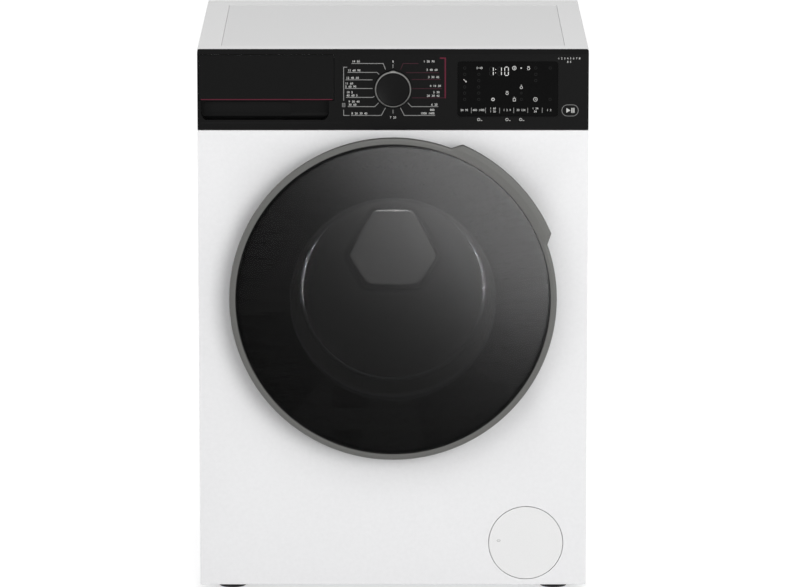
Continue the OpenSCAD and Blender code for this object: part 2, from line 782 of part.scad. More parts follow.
// Water inlet: a valve with a threaded stub and the pipe to the dispenser
valve_z = [rear_d - 42, rear_d + sheet_t];

module inlet_valve() color("white") stand() {
    difference() {
        union() {
            block([-inlet_x - 18, -inlet_x + 18], [inlet_up - 14, inlet_up + 14],
                [valve_z[0], rear_d - seat_gap]);
            bar_in(-inlet_x, inlet_up, [rear_d - past, body_d - 0.8], inlet_r);
            block([-inlet_x - 14, -inlet_x + 14], [inlet_up - 46, inlet_up - 14],
                [valve_z[0] + 2, valve_z[0] + 30]);
        }
        bar_in(-inlet_x, inlet_up, [rear_d + 2, far], inlet_r - 4);
    }
    difference() {
        bar_in(-inlet_x, inlet_up, [housing_z1 + seat_gap, valve_z[0]], 8);
        bar_in(-inlet_x, inlet_up, [0, valve_z[0] - past], 6);
    }
}

// Door trim ring with the handle's edge at its upper right
crest = -door_proud + glass_dome;

module handle_plan() intersection() {
    circle(r = handle_r);
    polygon([[0, 0], polar(ring_r - 1, handle_from), polar(handle_r, handle_from + handle_slope),
        polar(handle_r * 1.3, handle_from + 12), polar(handle_r * 1.3, handle_to - 12),
        polar(handle_r, handle_to - handle_slope), polar(ring_r - 1, handle_to)]);
}

module door_ring() color("#6f6f6f") stand() difference() {
    on_axis() union() {
        rotate_extrude() polygon(ring_section);
        difference() {
            inward(crest + 1, handle_t) handle_plan();
            translate([0, 0, -far / 2]) cylinder(r = ring_r - 4, h = far);
        }
    }
    block([-far, -hinge_x + 30], [door_up - pocket_half, door_up + pocket_half],
        [pocket_floor, far]);
}

ring_section = concat([[glass_r, glass_back]], [[glass_r, crest + 0.6]],
    arc([ring_r - 4, crest + 4], 4, -110, -15, 4),
    [[ring_r, crest + 7], [ring_r - ring_taper, ring_back],
    [ring_r - ring_taper - ring_t, ring_back], [ring_r - ring_t - 1, crest + 9],
    [ring_r - ring_w - 3, glass_back + 2.4], [ring_r - ring_w - 3, glass_back]]);

// Outer glass: a thin dome
module door_glass() color("#1a1a1a") stand() on_axis()
    rotate_extrude() polygon(concat([[0, glass_back]],
        [[glass_r - 0.3, glass_back]],
        [for (n = [0:10]) let (r = (glass_r - 0.3) * (1 - n / 10))
            [r, glass_front - glass_dome * (1 - pow(r / glass_r, 2))]]));

// Inner frame of the door: a moulded pan that carries the bowl, the hinge and the latch
module door_inner_frame() color("#4a4a4a") stand() difference() {
    union() {
        difference() {
            on_axis() {
                rotate_extrude() polygon(wall([[frame_r, frame_front], [frame_r, frame_back - 3],
                    [frame_r - 3, frame_back], [frame_hole, frame_back]], frame_t));
                rotate_extrude() area([frame_r - 8, ring_r - ring_w - 3.2],
                    [frame_front, frame_front + frame_t]);
            }
            hinge_pocket(0);
        }
        difference() {
            intersection() {
                hinge_pocket(frame_t);
                on_axis() translate([0, 0, frame_front]) cylinder(r = frame_r, h = far);
                block([-far, far], [0, far], [frame_front, frame_back]);
            }
            hinge_pocket(0);
        }
        block([latch_x0 - 2.5, latch_x1 + 2.5], [door_up - latch_half - 2.5, door_up + latch_half + 2.5],
            [hook_pin_z - 9, frame_back - 1]);
        for (a = [30, 90, 150, 210, 270, 330]) on_axis() rotate([0, 0, a])
            translate([(frame_r + frame_hole) / 2 + 4, 0, frame_front]) difference() {
                cylinder(r = 6, h = frame_back - frame_front - past);
                translate([0, 0, -past]) cylinder(r = 2, h = 12);
            }
    }
    block([latch_x0, latch_x1], [door_up - latch_half, door_up + latch_half],
        [hook_pin_z - 6.5, far]);
    bar_up(hook_x - 4, [door_up - latch_half - 5, door_up + latch_half + 5], hook_pin_z,
        hook_pin_r + run_gap);
}

module hinge_pocket(more)
    block([-far, -hinge_x + 48 + more], [door_up - pocket_half - more, door_up + pocket_half + more],
        [pocket_floor - more, more > 0 ? frame_back : far]);

// Bowl: pressed glass with a flange, a cone and a domed end
bowl_flange = frame_back - frame_t - bowl_t;
bowl_slope = atan2(bowl_r - bowl_end_r, bowl_d - bowl_flange - bowl_t);
bend_r = 12;

module door_bowl() color("#8fa6ad") stand() on_axis()
    turn_wall(concat([[bowl_r + 11, bowl_flange + bowl_t], [bowl_r, bowl_flange + bowl_t]],
        arc([bowl_end_r - bend_r, bowl_d], bend_r, -bowl_slope, 70, 4),
        [for (n = [1:6]) let (r = (bowl_end_r - bend_r) * 0.96 * (1 - n / 6))
            [r, bowl_d + bend_r + (bowl_dome - bend_r) * (1 - pow(r / bowl_end_r, 2))]]), bowl_t);

// Hinge: a bracket with two ears on the front panel, and a leaf with one knuckle on the door
ear_y = knuckle_half + 0.3;

module hinge_ear() {
    translate([-hinge_x, -hinge_out]) circle(r = knuckle_r);
    polygon([[-hinge_x - 4, -hinge_out + 4.4], [-hinge_x + 4.4, -hinge_out - 4],
        [-hinge_x + 30, -5], [-hinge_x + 30, -sheet_t], [-hinge_x + 15, -sheet_t]]);
}

module door_hinge_bracket() color("silver") stand() translate([0, door_up, 0]) {
    for (y = [-ear_y - ear_h, ear_y]) upward(y, ear_h) hinge_ear();
    block([-hinge_x + 12, -hinge_x + 42], [-ear_y - ear_h, ear_y + ear_h], [-3, 0]);
    bar_up(-hinge_x, [-ear_y - past, ear_y + past], -hinge_out, hinge_pin_r);
}

module door_hinge_leaf() color("silver") stand() translate([0, door_up, 0]) difference() {
    union() {
        bar_up(-hinge_x, [-knuckle_half, knuckle_half], -hinge_out, knuckle_r);
        block([-hinge_x - 2, -hinge_x + 44], [-knuckle_half, knuckle_half],
            [pocket_floor, pocket_floor + 3]);
    }
    bar_up(-hinge_x, [-far, far], -hinge_out, hinge_pin_r + run_gap);
}

// Latch: a hook on a pin in the door, and the lock behind the front panel
module door_latch_hook() color("silver") stand() translate([0, door_up, 0]) {
    upward(-hook_t, 2 * hook_t) {
        translate([hook_x - 4, hook_pin_z]) circle(r = 5);
        polygon([[hook_x - 8, hook_pin_z + 2], [hook_x - 1, hook_pin_z + 2],
            [hook_x + 0.5, hook_reach - 3], [hook_x - 1, hook_reach], [hook_x - 4.5, hook_reach],
            [hook_x - 6.5, hook_reach - 4], [hook_x - 6.5, hook_reach - 6],
            [hook_x - 4, hook_reach - 7]]);
    }
    bar_up(hook_x - 4, [-latch_half - 2, latch_half + 2], hook_pin_z, hook_pin_r);
}

module door_lock() color("#e8e8e8") stand() difference() {
    z0 = sheet_t + seat_gap;
    union() {
        block([slot_x[0] - 5, slot_x[1] + 16], [door_up - 46, door_up + 46], [z0, z0 + 26]);
        block([slot_x[0] - 2, slot_x[1] + 12], [door_up - 60, door_up + 60], [z0, z0 + 3]);
    }
    block([slot_x[0] - 2, slot_x[1] + 2], [door_up - slot_half - 1, door_up + slot_half + 1],
        [0, hook_reach + 5]);
}

// Gasket: a bellows between the porthole's edge and the tub's neck
lip_r = 160.8;
gasket_t = 2.5;

module door_gasket() color("#5a5f63") stand() on_axis() {
    rotate_extrude() polygon(wall([[lip_r, dish_d - 2], [lip_r + 5, dish_d + 4],
        [hole_r - 2, dish_d + 4], [hole_r + 3, dish_d + 6], [hole_r - 6, dish_d + 17],
        [hole_r - 3, dish_d + 22], [neck_r + 4, dish_d + 25], [neck_r + 3.5, neck_front + 2],
        [neck_r + 0.3, neck_front + 3], [neck_r + 0.3, tub_face - 1]], -gasket_t));
    rotate_extrude() area([hole_r - 4.6, hole_r - 0.3], [dish_d - 2.2, dish_d + 3]);
    rotate_extrude() area([hole_r - 4.6, hole_r + 4], [dish_d - 2.2, dish_d - 0.2]);
}

// Filter flap and the moulded surround behind it, with lugs for the ends of the flap's pin
module filter_surround() color("white") stand() difference() {
    z0 = sheet_t + seat_gap;
    union() {
        difference() {
            bar_in(flap_x, flap_up, [z0, z0 + surround_d], flap_r + 6);
            bar_in(flap_x, flap_up, [0, z0 + surround_d - 2.5], flap_r + flap_gap + 1);
        }
        for (at = [flap_arm_end + 5, -flap_arm_end - 5]) block(span(flap_hinge_x, -5.8, 4),
            span(flap_up + at, -3, 3), [z0, z0 + 7]);
    }
    for (side = [-1, 1]) block(span(flap_hinge_x, -21, 3),
        span(flap_up + side * (flap_arm_end - flap_arm_w / 2), -2.7, 2.7), [0, far]);
    bar_in(flap_x, flap_up, [0, far], pump_r + 3);
    bar_up(flap_hinge_x, [0, far], flap_hinge_z, flap_pin_r + run_gap);
    block([0, far], [0, floor_gap + 0.5], [0, far]);
}

// An arm runs back from the flap, round the edge of the front panel and forward to the pin
flap_arm_foot = flap_t - flap_hinge_z - past;
flap_arm = [[-16, flap_arm_foot], [-16 + flap_arm_t, flap_arm_foot],
    [-16 + flap_arm_t, flap_arm_reach], [-flap_pin_r, flap_arm_reach], [-flap_pin_r, 0],
    [flap_pin_r, 0], [flap_pin_r, flap_arm_reach + flap_arm_t],
    [-16, flap_arm_reach + flap_arm_t]];

module filter_flap() color("white") stand() {
    bar_in(flap_x, flap_up, [0, flap_t], flap_r);
    bar_up(flap_hinge_x, span(flap_up, -flap_arm_end - 7, flap_arm_end + 7), flap_hinge_z,
        flap_pin_r);
    for (low = [-flap_arm_end, flap_arm_end - flap_arm_w])
        translate([flap_hinge_x, 0, flap_hinge_z]) upward(flap_up + low, flap_arm_w)
            polygon(flap_arm);
    block([flap_x - flap_r + 6, flap_x - flap_r + 10], [flap_up - 8, flap_up + 8],
        [flap_t - past, flap_t + 8]);
}

// Drain pump with its filter and impeller
sump_x = 100;
sump_z = 120;
sump_r = 20;

module pump_housing() color("#3a3a3a") stand() difference() {
    union() {
        bar_in(flap_x, flap_up, [pump_z0, pump_z1], pump_r);
        bar_in(flap_x, flap_up, [pump_z1, pump_z1 + 40], 24);
        bar_over([sump_x, flap_x], flap_up, sump_z, sump_r + 3);
        bar_up(sump_x, [flap_up - sump_r - 3, flap_up + 44], sump_z, sump_r);
        block([flap_x - 24, flap_x + 24], [base_y + base_t + seat_gap, flap_up],
            [pump_z0 + 14, pump_z0 + 22]);
        block([flap_x - 24, flap_x + 24], [base_y + base_t + seat_gap, base_y + base_t + 4],
            [base_z[0] + base_t + 5, base_z[0] + base_flange - 4]);
        bar_in(drain_x - 12, drain_up + 12, [pump_z1 - 24, pump_z1 + 6], drain_r);
        bar_over([flap_x, drain_x - 12], drain_up + 12, pump_z1 - 15, drain_r - 1);
    }
    bar_in(flap_x, flap_up, [0, pump_z1 - 34], filter_r + 0.4);
    bar_in(flap_x, flap_up, [pump_z1 - 34 - past, pump_z1 - 4], 20);
    bar_in(flap_x, flap_up, [0, pump_z1 + 24], 2.5 + run_gap);
    bar_over([sump_x, flap_x], flap_up, sump_z, sump_r - 4);
    bar_up(sump_x, [flap_up, far], sump_z, sump_r - 3);
}

module pump_filter() color("#2f6f8f") stand() {
    difference() {
        union() {
            bar_in(flap_x, flap_up, [pump_z0 - 6, pump_z0 - seat_gap], pump_r - 4);
            bar_in(flap_x, flap_up, [pump_z0 - past, pump_z0 + 78], filter_r + 0.35);
        }
        bar_in(flap_x, flap_up, [pump_z0 + 6, far], filter_r - 2.5);
        for (n = [0:3]) block([flap_x - far, flap_x + far], [flap_up - 5, flap_up + 5],
            [pump_z0 + 10 + n * 17, pump_z0 + 20 + n * 17]);
    }
    block([flap_x - 4, flap_x + 4], [flap_up - 22, flap_up + 22], [pump_z0 - 14, pump_z0 - 5]);
}

module pump_impeller() color("ivory") stand() translate([flap_x, flap_up, 0]) {
    bar_in(0, 0, [pump_z1 - 30, pump_z1 + 22], 2.5);
    bar_in(0, 0, [pump_z1 - 28, pump_z1 - 8], 6);
    for (n = [0:5]) rotate([0, 0, 60 * n])
        block([0, 18], [-1, 1], [pump_z1 - 26, pump_z1 - 8]);
}

// Sump hose: a ribbed sleeve from the tub to the pump
tub_low_sump = door_up - half_chord(tub_r, sump_x);
sump_hose_y = [flap_up + 26, tub_low_sump - 12.7];
sump_fold = (sump_hose_y[1] - sump_hose_y[0]) / 10;

module sump_hose() color("black") stand() translate([sump_x, 0, sump_z]) rotate([-90, 0, 0])
    difference() {
        union() {
            translate([0, 0, sump_hose_y[0]])
                cylinder(r = sump_r + 3, h = sump_hose_y[1] - sump_hose_y[0]);
            for (n = [3:7]) translate([0, 0, sump_hose_y[0] + n * sump_fold])
                rotate_extrude() polygon([[sump_r, -4], [sump_r + 8, -1], [sump_r + 8, 1],
                    [sump_r, 4]]);
        }
        translate([0, 0, -far]) cylinder(r = sump_r + 0.3, h = 2 * far);
    }

// Drain pipe along the right side to the spigot in the rear panel
module drain_pipe() color("gray") stand() difference() {
    union() {
        bar_in(drain_x, drain_up, [pump_z1 + 20, body_d - 0.8], drain_r);
        bar_over([drain_x - 12, drain_x], drain_up, pump_z1 + 30, drain_r);
        bar_up(drain_x - 12, [drain_up, drain_up + 12], pump_z1 + 30, drain_r);
        bar_in(drain_x - 12, drain_up + 12, [pump_z1 + 6 + seat_gap, pump_z1 + 30], drain_r);
        bar_in(drain_x, drain_up, [rear_d - 6, rear_d - seat_gap], drain_r + 5);
    }
    bar_in(drain_x, drain_up, [pump_z1 + 40, far], drain_r - 2);
}

// Tub: two moulded shells that meet at a seam, with ribs, ears and spigots
seam_flange = 8;
tub_corner = 22;

module tub_front_shell() color("#b9bdbf") stand() difference() {
    union() {
        on_axis() rotate_extrude() {
            polygon(wall(concat([[neck_r - tub_t, neck_front], [neck_r - tub_t, tub_front]],
                arc([tub_r - tub_t - tub_corner, tub_front + tub_corner], tub_corner, -90, 0, 5),
                [[tub_r - tub_t, seam_d]]), -tub_t));
            area([tub_r - tub_t, tub_r + seam_flange], [seam_d - 5, seam_d]);
        }
        bar_up(sump_x, [sump_hose_y[1] - 14, tub_low_sump + 14], sump_z, sump_r);
    }
    on_axis() translate([0, 0, tub_front + 1]) cylinder(r = tub_r - tub_t - tub_corner, h = far);
    on_axis() translate([0, 0, tub_front + tub_corner]) cylinder(r = tub_r - tub_t, h = far);
    bar_up(sump_x, [0, tub_low_sump + 14], sump_z, sump_r - 3);
}

hub_out = shaft_r + bearing_wall + 13;
rib_h = 15;

module tub_rear_shell() color("#b9bdbf") stand() difference() {
    union() {
        on_axis() {
            rotate_extrude() {
                area([tub_r - tub_t, tub_r], [seam_d + seat_gap, tub_rear]);
                area([tub_r - tub_t, tub_r + seam_flange], [seam_d + seat_gap, seam_d + 5]);
                area([shaft_r + 5, tub_r], [tub_rear - tub_t, tub_rear]);
                area([shaft_r + 5, hub_out], [tub_rear - tub_t, boss_end]);
                area([186, 189], [tub_rear - past, tub_rear + rib_h]);
            }
            for (n = [0:15]) rotate([0, 0, 22.5 * n])
                block([hub_out - 2, 188], [-1.5, 1.5], [tub_rear - past, tub_rear + rib_h]);
            inward(motor_z + 12, 20) motor_lug();
            inward(motor_z + motor_len - 34, 20) motor_lug();
        }
        for (side = [-1, 1]) {
            inward(spring_d - 8, 16) spring_ear(side);
            for (z = [damper_z - fork_gap - fork_t, damper_z + fork_gap])
                inward(z, fork_t) damper_ear(side);
            bar_in(side * damper_head[0], damper_head[1],
                [damper_z - fork_gap - fork_t, damper_z + fork_gap + fork_t], damper_pin_r);
        }
        bar_up(hose_x, [tub_low_hose, tub_hose_top], hose_z, 14);
    }
    on_axis() {
        translate([0, 0, seam_d]) cylinder(r = tub_r - tub_t, h = tub_rear - tub_t - seam_d);
        translate([0, 0, bearing_z]) cylinder(r = shaft_r + bearing_wall + 0.02, h = bearing_w + 0.1);
        translate([0, 0, rear_bearing_z])
            cylinder(r = rear_shaft_r + bearing_wall + 0.02, h = far);
        translate([0, 0, tub_rear - tub_t - past]) cylinder(r = shaft_r + 3, h = far);
    }
    bar_up(hose_x, [tub_low_hose, far], hose_z, 11);
    for (side = [-1, 1]) bar_in(side * heater_x, heater_y, [tub_rear - 30, far], heater_r + seat_gap);
}

module motor_lug() difference() {
    rotate(motor_way) area([tub_r - tub_t - past, motor_far - motor_r + 8], [-34, 34]);
    circle(r = tub_r - 1);
    translate(motor_at) circle(r = motor_r + seat_gap);
}

module spring_ear(side) mirror([side < 0 ? 1 : 0, 0]) difference() {
    polygon([[0, door_up] + polar(tub_r - 2, 22), [spring_x + 7, ear_top - 14],
        [spring_x + 7, ear_top], [spring_x - 7, ear_top], [0, door_up] + polar(tub_r - 2, 37)]);
    translate([0, door_up]) circle(r = tub_r - 1);
}

module damper_ear(side) difference() {
    union() {
        translate([side * damper_head[0], damper_head[1]]) circle(r = damper_pin_r + 7);
        polygon([[side * (damper_head[0] - 12), damper_head[1]],
            [side * (damper_head[0] + 12), damper_head[1]],
            [side * (damper_head[0] + 16), damper_head[1] + 60],
            [side * (damper_head[0] - 30), damper_head[1] + 20]]);
    }
    translate([0, door_up]) circle(r = tub_r - 1);
}

// Counterweights: a cast ring segment on the tub's front and a block on its top
block_x = [housing_x1 + 16.7, duct_x[0] - 15];

module counterweights() color("#9a9a94") stand() {
    inward(tub_face - 14 - seat_gap, 14) translate([0, door_up]) difference() {
        circle(r = tub_r - 12);
        circle(r = neck_r + 12);
        area([-far, far], [-70, 88]);
    }
    inward(tub_front + 14, 150) difference() {
        round_area(block_x, [door_up, door_up + tub_r + 46.3], 10);
        translate([0, door_up]) circle(r = tub_r + seam_flange + 1);
        area(block_x, [0, door_up + tub_r + 7.3]);
    }
    inward(tub_front + 40, 50) difference() {
        area([-60, 60], [door_up + tub_r - 32, door_up + tub_r + 21.3]);
        translate([0, door_up]) circle(r = tub_r + seat_gap);
    }
}

// Heater under the drum: a bent rod that passes through the tub's rear wall
heater_x = 25;
heater_r = 4;
heater_y = door_up - (drum_r + tub_r - tub_t) / 2 + 1.3;
heater_z = 230;

module tub_heater() color("slategray") stand() {
    for (side = [-1, 1]) bar_in(side * heater_x, heater_y, [heater_z, tub_rear + 18], heater_r);
    translate([0, heater_y, heater_z]) rotate([90, 0, 0]) mirror([0, 1, 0])
        rotate_extrude(angle = 180) translate([heater_x, 0]) circle(r = heater_r);
    inward(tub_rear + seat_gap, 4) round_area([-heater_x - 12, heater_x + 12],
        [heater_y - 9, heater_y + 9], 8);
}

// Ball bearings in the tub's hub, drawn as their rings
module bearing(z, r) on_axis() rotate_extrude() {
    area([r, r + bearing_wall * 0.3], [z, z + bearing_w]);
    area([r + bearing_wall * 0.7, r + bearing_wall], [z, z + bearing_w]);
    area([r + 1, r + bearing_wall - 1], [z + 1, z + bearing_w - 1]);
}

module shaft_bearings() color("silver") stand() {
    bearing(bearing_z, shaft_r);
    bearing(rear_bearing_z, rear_shaft_r);
}

// Motor under the tub, its rotor and the belt
module motor_housing() color("silver") stand() translate([-motor_x, motor_up, 0]) difference() {
    union() {
        bar_in(0, 0, [motor_z, motor_z + motor_len], motor_r);
        bar_in(0, 0, [motor_z - 8, motor_z + motor_len + 8], motor_r * 0.4);
    }
    bar_in(0, 0, [motor_z + 12, motor_z + motor_len - 12], 42);
    for (n = [0:11]) rotate([0, 0, 30 * n + 15])
        block([46, 58], [-5, 5], [motor_z - past, motor_z + 8]);
    bar_in(0, 0, [0, far], rotor_shaft_r + run_gap);
}

rotor_shaft_r = 8;

module motor_rotor() color("gray") stand() translate([-motor_x, motor_up, 0]) {
    bar_in(0, 0, [motor_z - 6, pulley_z + pulley_w], rotor_shaft_r);
    bar_in(0, 0, [motor_z + 16, motor_z + motor_len - 16], 40);
    bar_in(0, 0, [pulley_z, pulley_z + pulley_w], pinion_r);
}

// A loop that wraps both pulleys at a distance from them, straight between the two arcs
belt_fall = acos((pulley_r - pinion_r) / motor_far);

module belt_loop(more)
    polygon(concat(arc([0, 0], pulley_r + more, motor_way + belt_fall,
        motor_way - belt_fall + 360, 60),
        arc(motor_at, pinion_r + more, motor_way - belt_fall, motor_way + belt_fall, 16)));

module drive_belt() color("black") stand() on_axis()
    inward(pulley_z + (pulley_w - belt_w) / 2, belt_w) difference() {
        belt_loop(belt_gap + belt_t);
        belt_loop(belt_gap);
    }

module drum_pulley() color("silver") stand() on_axis() difference() {
    union() {
        rotate_extrude() {
            area([pulley_r - 6, pulley_r], [pulley_z, pulley_z + pulley_w]);
            area([pulley_r - 6, pulley_r + 1.5], [pulley_z, pulley_z + 2]);
            area([pulley_r - 6, pulley_r + 1.5], [pulley_z + pulley_w - 2, pulley_z + pulley_w]);
        }
        bar_in(0, 0, [pulley_z - 2, pulley_z + pulley_w + 4], 24);
        inward(pulley_z + 6, 7) for (n = [0:5]) rotate(60 * n)
            polygon([[20, -11], [pulley_r - 4, -8], [pulley_r - 4, 8], [20, 11]]);
    }
    bar_in(0, 0, [0, far], rear_shaft_r - 2.5);
}

// Drum: a welded shell with a drawn-in mouth, its back pressed forward to a hub with three arms
back_step = 9;
back_arm = 66;
back_flank = 52;

module drum_shell() color("lightgray") stand() on_axis() difference() {
    union() {
        rotate_extrude() polygon(wall(concat([[drum_mouth + 3, drum_front - 4],
            [drum_mouth, drum_front - 2], [drum_mouth + 1, drum_front + 2],
            [drum_r - 32, drum_front + 6]],
            arc([drum_r - 14, drum_front + 22], 14, -70, 0, 4),
            arc([drum_r - 8, drum_back - 8], 8, 0, 90, 3), [[0, drum_back]]), drum_t));
        inward(drum_back - back_step - drum_t, back_step + drum_t) pressed_hub(0);
    }
    inward(drum_back - back_step, far) pressed_hub(drum_t);
}

// Six sides, three short ones at the ends of the arms and three long flanks, corners on a circle
module pressed_hub(less) intersection() {
    circle(r = back_arm + 2 - less);
    polygon([for (n = [0:2], s = [1, -1]) let (y = back_arm - less,
        x = s * ((back_flank - less) - y / 2) / cos(30), t = 120 * n)
        [x * cos(t) - y * sin(t), x * sin(t) + y * cos(t)]]);
}

module drum_lifters() color("whitesmoke") stand() on_axis()
    for (n = [0:lifters - 1]) rotate([0, 0, 90 + n * 360 / lifters]) difference() {
        inward(lifter_z[0], lifter_z[1] - lifter_z[0]) intersection() {
            circle(r = drum_in - seat_gap);
            union() {
                polygon([[drum_r, -38], [drum_in - lifter_h + 8, -9],
                    [drum_in - lifter_h + 8, 9], [drum_r, 38]]);
                translate([drum_in - lifter_h + 9, 0]) circle(r = 9);
            }
        }
        for (end = [0, 1]) translate([drum_in, 0, lifter_z[end]])
            rotate([0, end ? -20 : 20, 0])
                block([-far, far], [-far, far], end ? [0, far] : [-far, 0]);
    }

lifter_z = [drum_front + 40, drum_back - 22];

// Spider: a cast hub with three arms and the drum's shaft
module drum_spider() color("silver") stand() on_axis() {
    bar_in(0, 0, [drum_back - back_step + seat_gap, hub_z], hub_r);
    inward(spider_z, 14) for (n = [0:2]) rotate(30 + 120 * n)
        polygon([[0, -24], [drum_r - 10, -13], [drum_r - 10, 13], [0, 24]]);
    bar_in(0, 0, [hub_z - past, bearing_z + bearing_w + 2], shaft_r - run_gap);
    bar_in(0, 0, [bearing_z + bearing_w, pulley_z - 2], rear_shaft_r - run_gap);
    bar_in(0, 0, [pulley_z - 2 - past, pulley_z + pulley_w + 4], rear_shaft_r - 2.6);
    inward(pulley_z + pulley_w + 4.1, 7) circle(r = 11, $fn = 6);
    bar_in(0, 0, [pulley_z + pulley_w, pulley_z + pulley_w + 5], 5);
}

// Dryer: the heater's duct, the condenser's channel and the fan
module drying_duct() color("#a7abad") stand() difference() {
    union() {
        block(duct_x, duct_y, [80, fan_at[1] - fan_r - seat_gap - 2]);
        on_axis() rotate([0, 0, 50]) block([tub_r + seam_flange + 1, tub_r + 34], [-28, 28], [84, 124]);
        on_axis() rotate([0, 0, 50]) block([tub_r + seat_gap, tub_r + 28], [-20, 20], [88, 120]);
        block(condenser_x, [door_up - 48.7, duct_y[1]], [condenser_z, condenser_z + 38]);
        block(span(condenser_x[0], 4, 32), span(door_up, -44.7, -4.7),
            [tub_rear + seat_gap, condenser_z + past]);
        block(span(fan_at[0], 17, 45), fan_y + fan_h * [0.14, -0.17],
            [condenser_z - 7, condenser_z + past]);
    }
    block(duct_x + [3, -3], duct_y + [3, -3], [100, condenser_z + 3]);
}

module fan_housing() color("#8d9193") stand() difference() {
    union() {
        upward(fan_y[0], fan_h) {
            translate(fan_at) circle(r = fan_r);
            area([fan_at[0], duct_x[1]], [fan_at[1] - fan_r - 1.5, fan_at[1]]);
            area(span(fan_at[0], 13, 49), [fan_at[1], condenser_z - 7.3]);
        }
        bar_up(fan_at[0], [fan_y[1] - past, fan_y[1] + 14], fan_at[1], 24);
    }
    upward(fan_y[0] + 3, fan_h - 6) {
        translate(fan_at) circle(r = fan_r - 3);
        area([fan_at[0] + 10, duct_x[1] - 3], [fan_at[1] - fan_r - 5, fan_at[1]]);
    }
    bar_up(fan_at[0], [fan_y[1] - 10, fan_y[1] + 10], fan_at[1], 3 + run_gap);
}

module fan_impeller() color("gray") stand() translate([fan_at[0], 0, fan_at[1]])
    rotate([-90, 0, 0]) {
        translate([0, 0, fan_y[0] + 5]) cylinder(r = fan_r - 8, h = 2);
        translate([0, 0, fan_y[0] + 5]) cylinder(r = 3, h = fan_h + 3);
        for (n = [0:23]) rotate([0, 0, 15 * n]) translate([fan_r - 22, -1, fan_y[0] + 6])
            rotate([0, 0, 12]) cube([13, 1.6, 0.79 * (fan_h - 10)]);
    }

// Springs: one wire wound in a helix at each side
turn_rings = 8;
wire_sides = 6;
coil_low = spring_low + 10;
coil_high = spring_top - 10;
coil_pitch = (coil_high - coil_low) / curls;

// Centre of the wire at ring i, straight at both ends
function wire_at(i) = let (last = curls * turn_rings)
    i < 0 ? [0, spring_low, 0] :
    i > last ? [0, spring_top, 0] :
    let (a = 360 * i / turn_rings, near = min(i, last - i) / turn_rings, r = coil_r * min(1, near))
    [r * cos(a), coil_low + coil_pitch * i / turn_rings, r * sin(a)];

wire_points = [for (i = [-1:curls * turn_rings + 1]) wire_at(i)];

// Ring of the wire's skin at point i, square to the way that the wire runs there
function skin(i) = let (last = len(wire_points) - 1)
    let (way = i < 2 || i > last - 2 ? [0, 1, 0] : wire_points[i + 1] - wire_points[i - 1])
    let (d = way / norm(way), a = cross(d, [0.3, 0, 1]), u = a / norm(a), v = cross(d, u))
    [for (k = [0:wire_sides - 1]) wire_points[i]
        + wire_r * (u * cos(360 * k / wire_sides) + v * sin(360 * k / wire_sides))];

skin_points = [for (i = [0:len(wire_points) - 1]) each skin(i)];
skin_last = wire_sides * (len(wire_points) - 1);
skin_faces = concat(
    [[for (k = [0:wire_sides - 1]) k]],
    [[for (k = [wire_sides - 1:-1:0]) skin_last + k]],
    [for (i = [0:len(wire_points) - 2], k = [0:wire_sides - 1])
        let (a = i * wire_sides + k, b = i * wire_sides + (k + 1) % wire_sides)
        [a, a + wire_sides, b]],
    [for (i = [0:len(wire_points) - 2], k = [0:wire_sides - 1])
        let (a = i * wire_sides + k, b = i * wire_sides + (k + 1) % wire_sides)
        [b, a + wire_sides, b + wire_sides]]);

echo(spring_gap = min([for (i = [turn_rings:len(wire_points) - 2 * turn_rings])
    norm(wire_points[i + turn_rings] - wire_points[i])]) - 2 * wire_r);

module suspension_springs() color("darkgray") stand() for (side = [-1, 1])
    translate([side * spring_x, 0, spring_d]) polyhedron(skin_points, skin_faces);

// Dampers: a cylinder on the base frame and a rod on the tub
module damper_place(side) mirror([side < 0 ? 1 : 0, 0, 0])
    translate([damper_foot[0], damper_foot[1], damper_z]) rotate([0, 0, damper_turn]) children();

module damper_cylinder(side) color("#2a2a2a") stand() damper_place(side) difference() {
    union() {
        bar_in(0, 0, [-fork_gap + 1, fork_gap - 1], damper_pin_r + 7);
        bar_up(0, [0, 20], 0, fork_gap - 2);
        bar_up(0, [damper_pin_r + 12, cylinder_len], 0, damper_r - 4);
        bar_up(0, [cylinder_len - 30, cylinder_len], 0, damper_r - 1);
    }
    bar_in(0, 0, [-far, far], damper_pin_r + run_gap);
    bar_up(0, [20, far], 0, rod_r + run_gap);
}

module damper_rod(side) color("silver") stand() damper_place(side) difference() {
    union() {
        bar_up(0, [40, damper_len], 0, rod_r);
        translate([0, damper_len, 0]) bar_in(0, 0, [-fork_gap + 1, fork_gap - 1], damper_pin_r + 6);
    }
    translate([0, damper_len, 0]) bar_in(0, 0, [-far, far], damper_pin_r + pin_play);
}

module left_damper_cylinder() damper_cylinder(-1);
module right_damper_cylinder() damper_cylinder(1);
module left_damper_rod() damper_rod(-1);
module right_damper_rod() damper_rod(1);

base_frame();
left_side_panel();
right_side_panel();
front_panel();
rear_panel();
rear_service_cover();
top_braces();
worktop_frame();
worktop_board();
control_fascia();
display_window();
control_board();
dispenser_housing();
inlet_valve();
dispenser_hose();
door_hinge_bracket();
door_lock();
door_gasket();
filter_surround();
pump_housing();
sump_hose();
drain_pipe();
rear_grommets();
suspension_springs();
drawer_front();
drawer_tray();
siphon_cap();
programme_knob();
door_ring();
door_glass();
door_inner_frame();
door_bowl();
door_hinge_leaf();
door_latch_hook();
tub_front_shell();
tub_rear_shell();
counterweights();
tub_heater();
shaft_bearings();
motor_housing();
drive_belt();
drying_duct();
fan_housing();
drum_shell();
drum_lifters();
drum_spider();
drum_pulley();
motor_rotor();
fan_impeller();
pump_impeller();
pump_filter();
filter_flap();
left_damper_cylinder();
right_damper_cylinder();
left_damper_rod();
right_damper_rod();
foot_front_left();
foot_front_right();
foot_rear_left();
foot_rear_right();
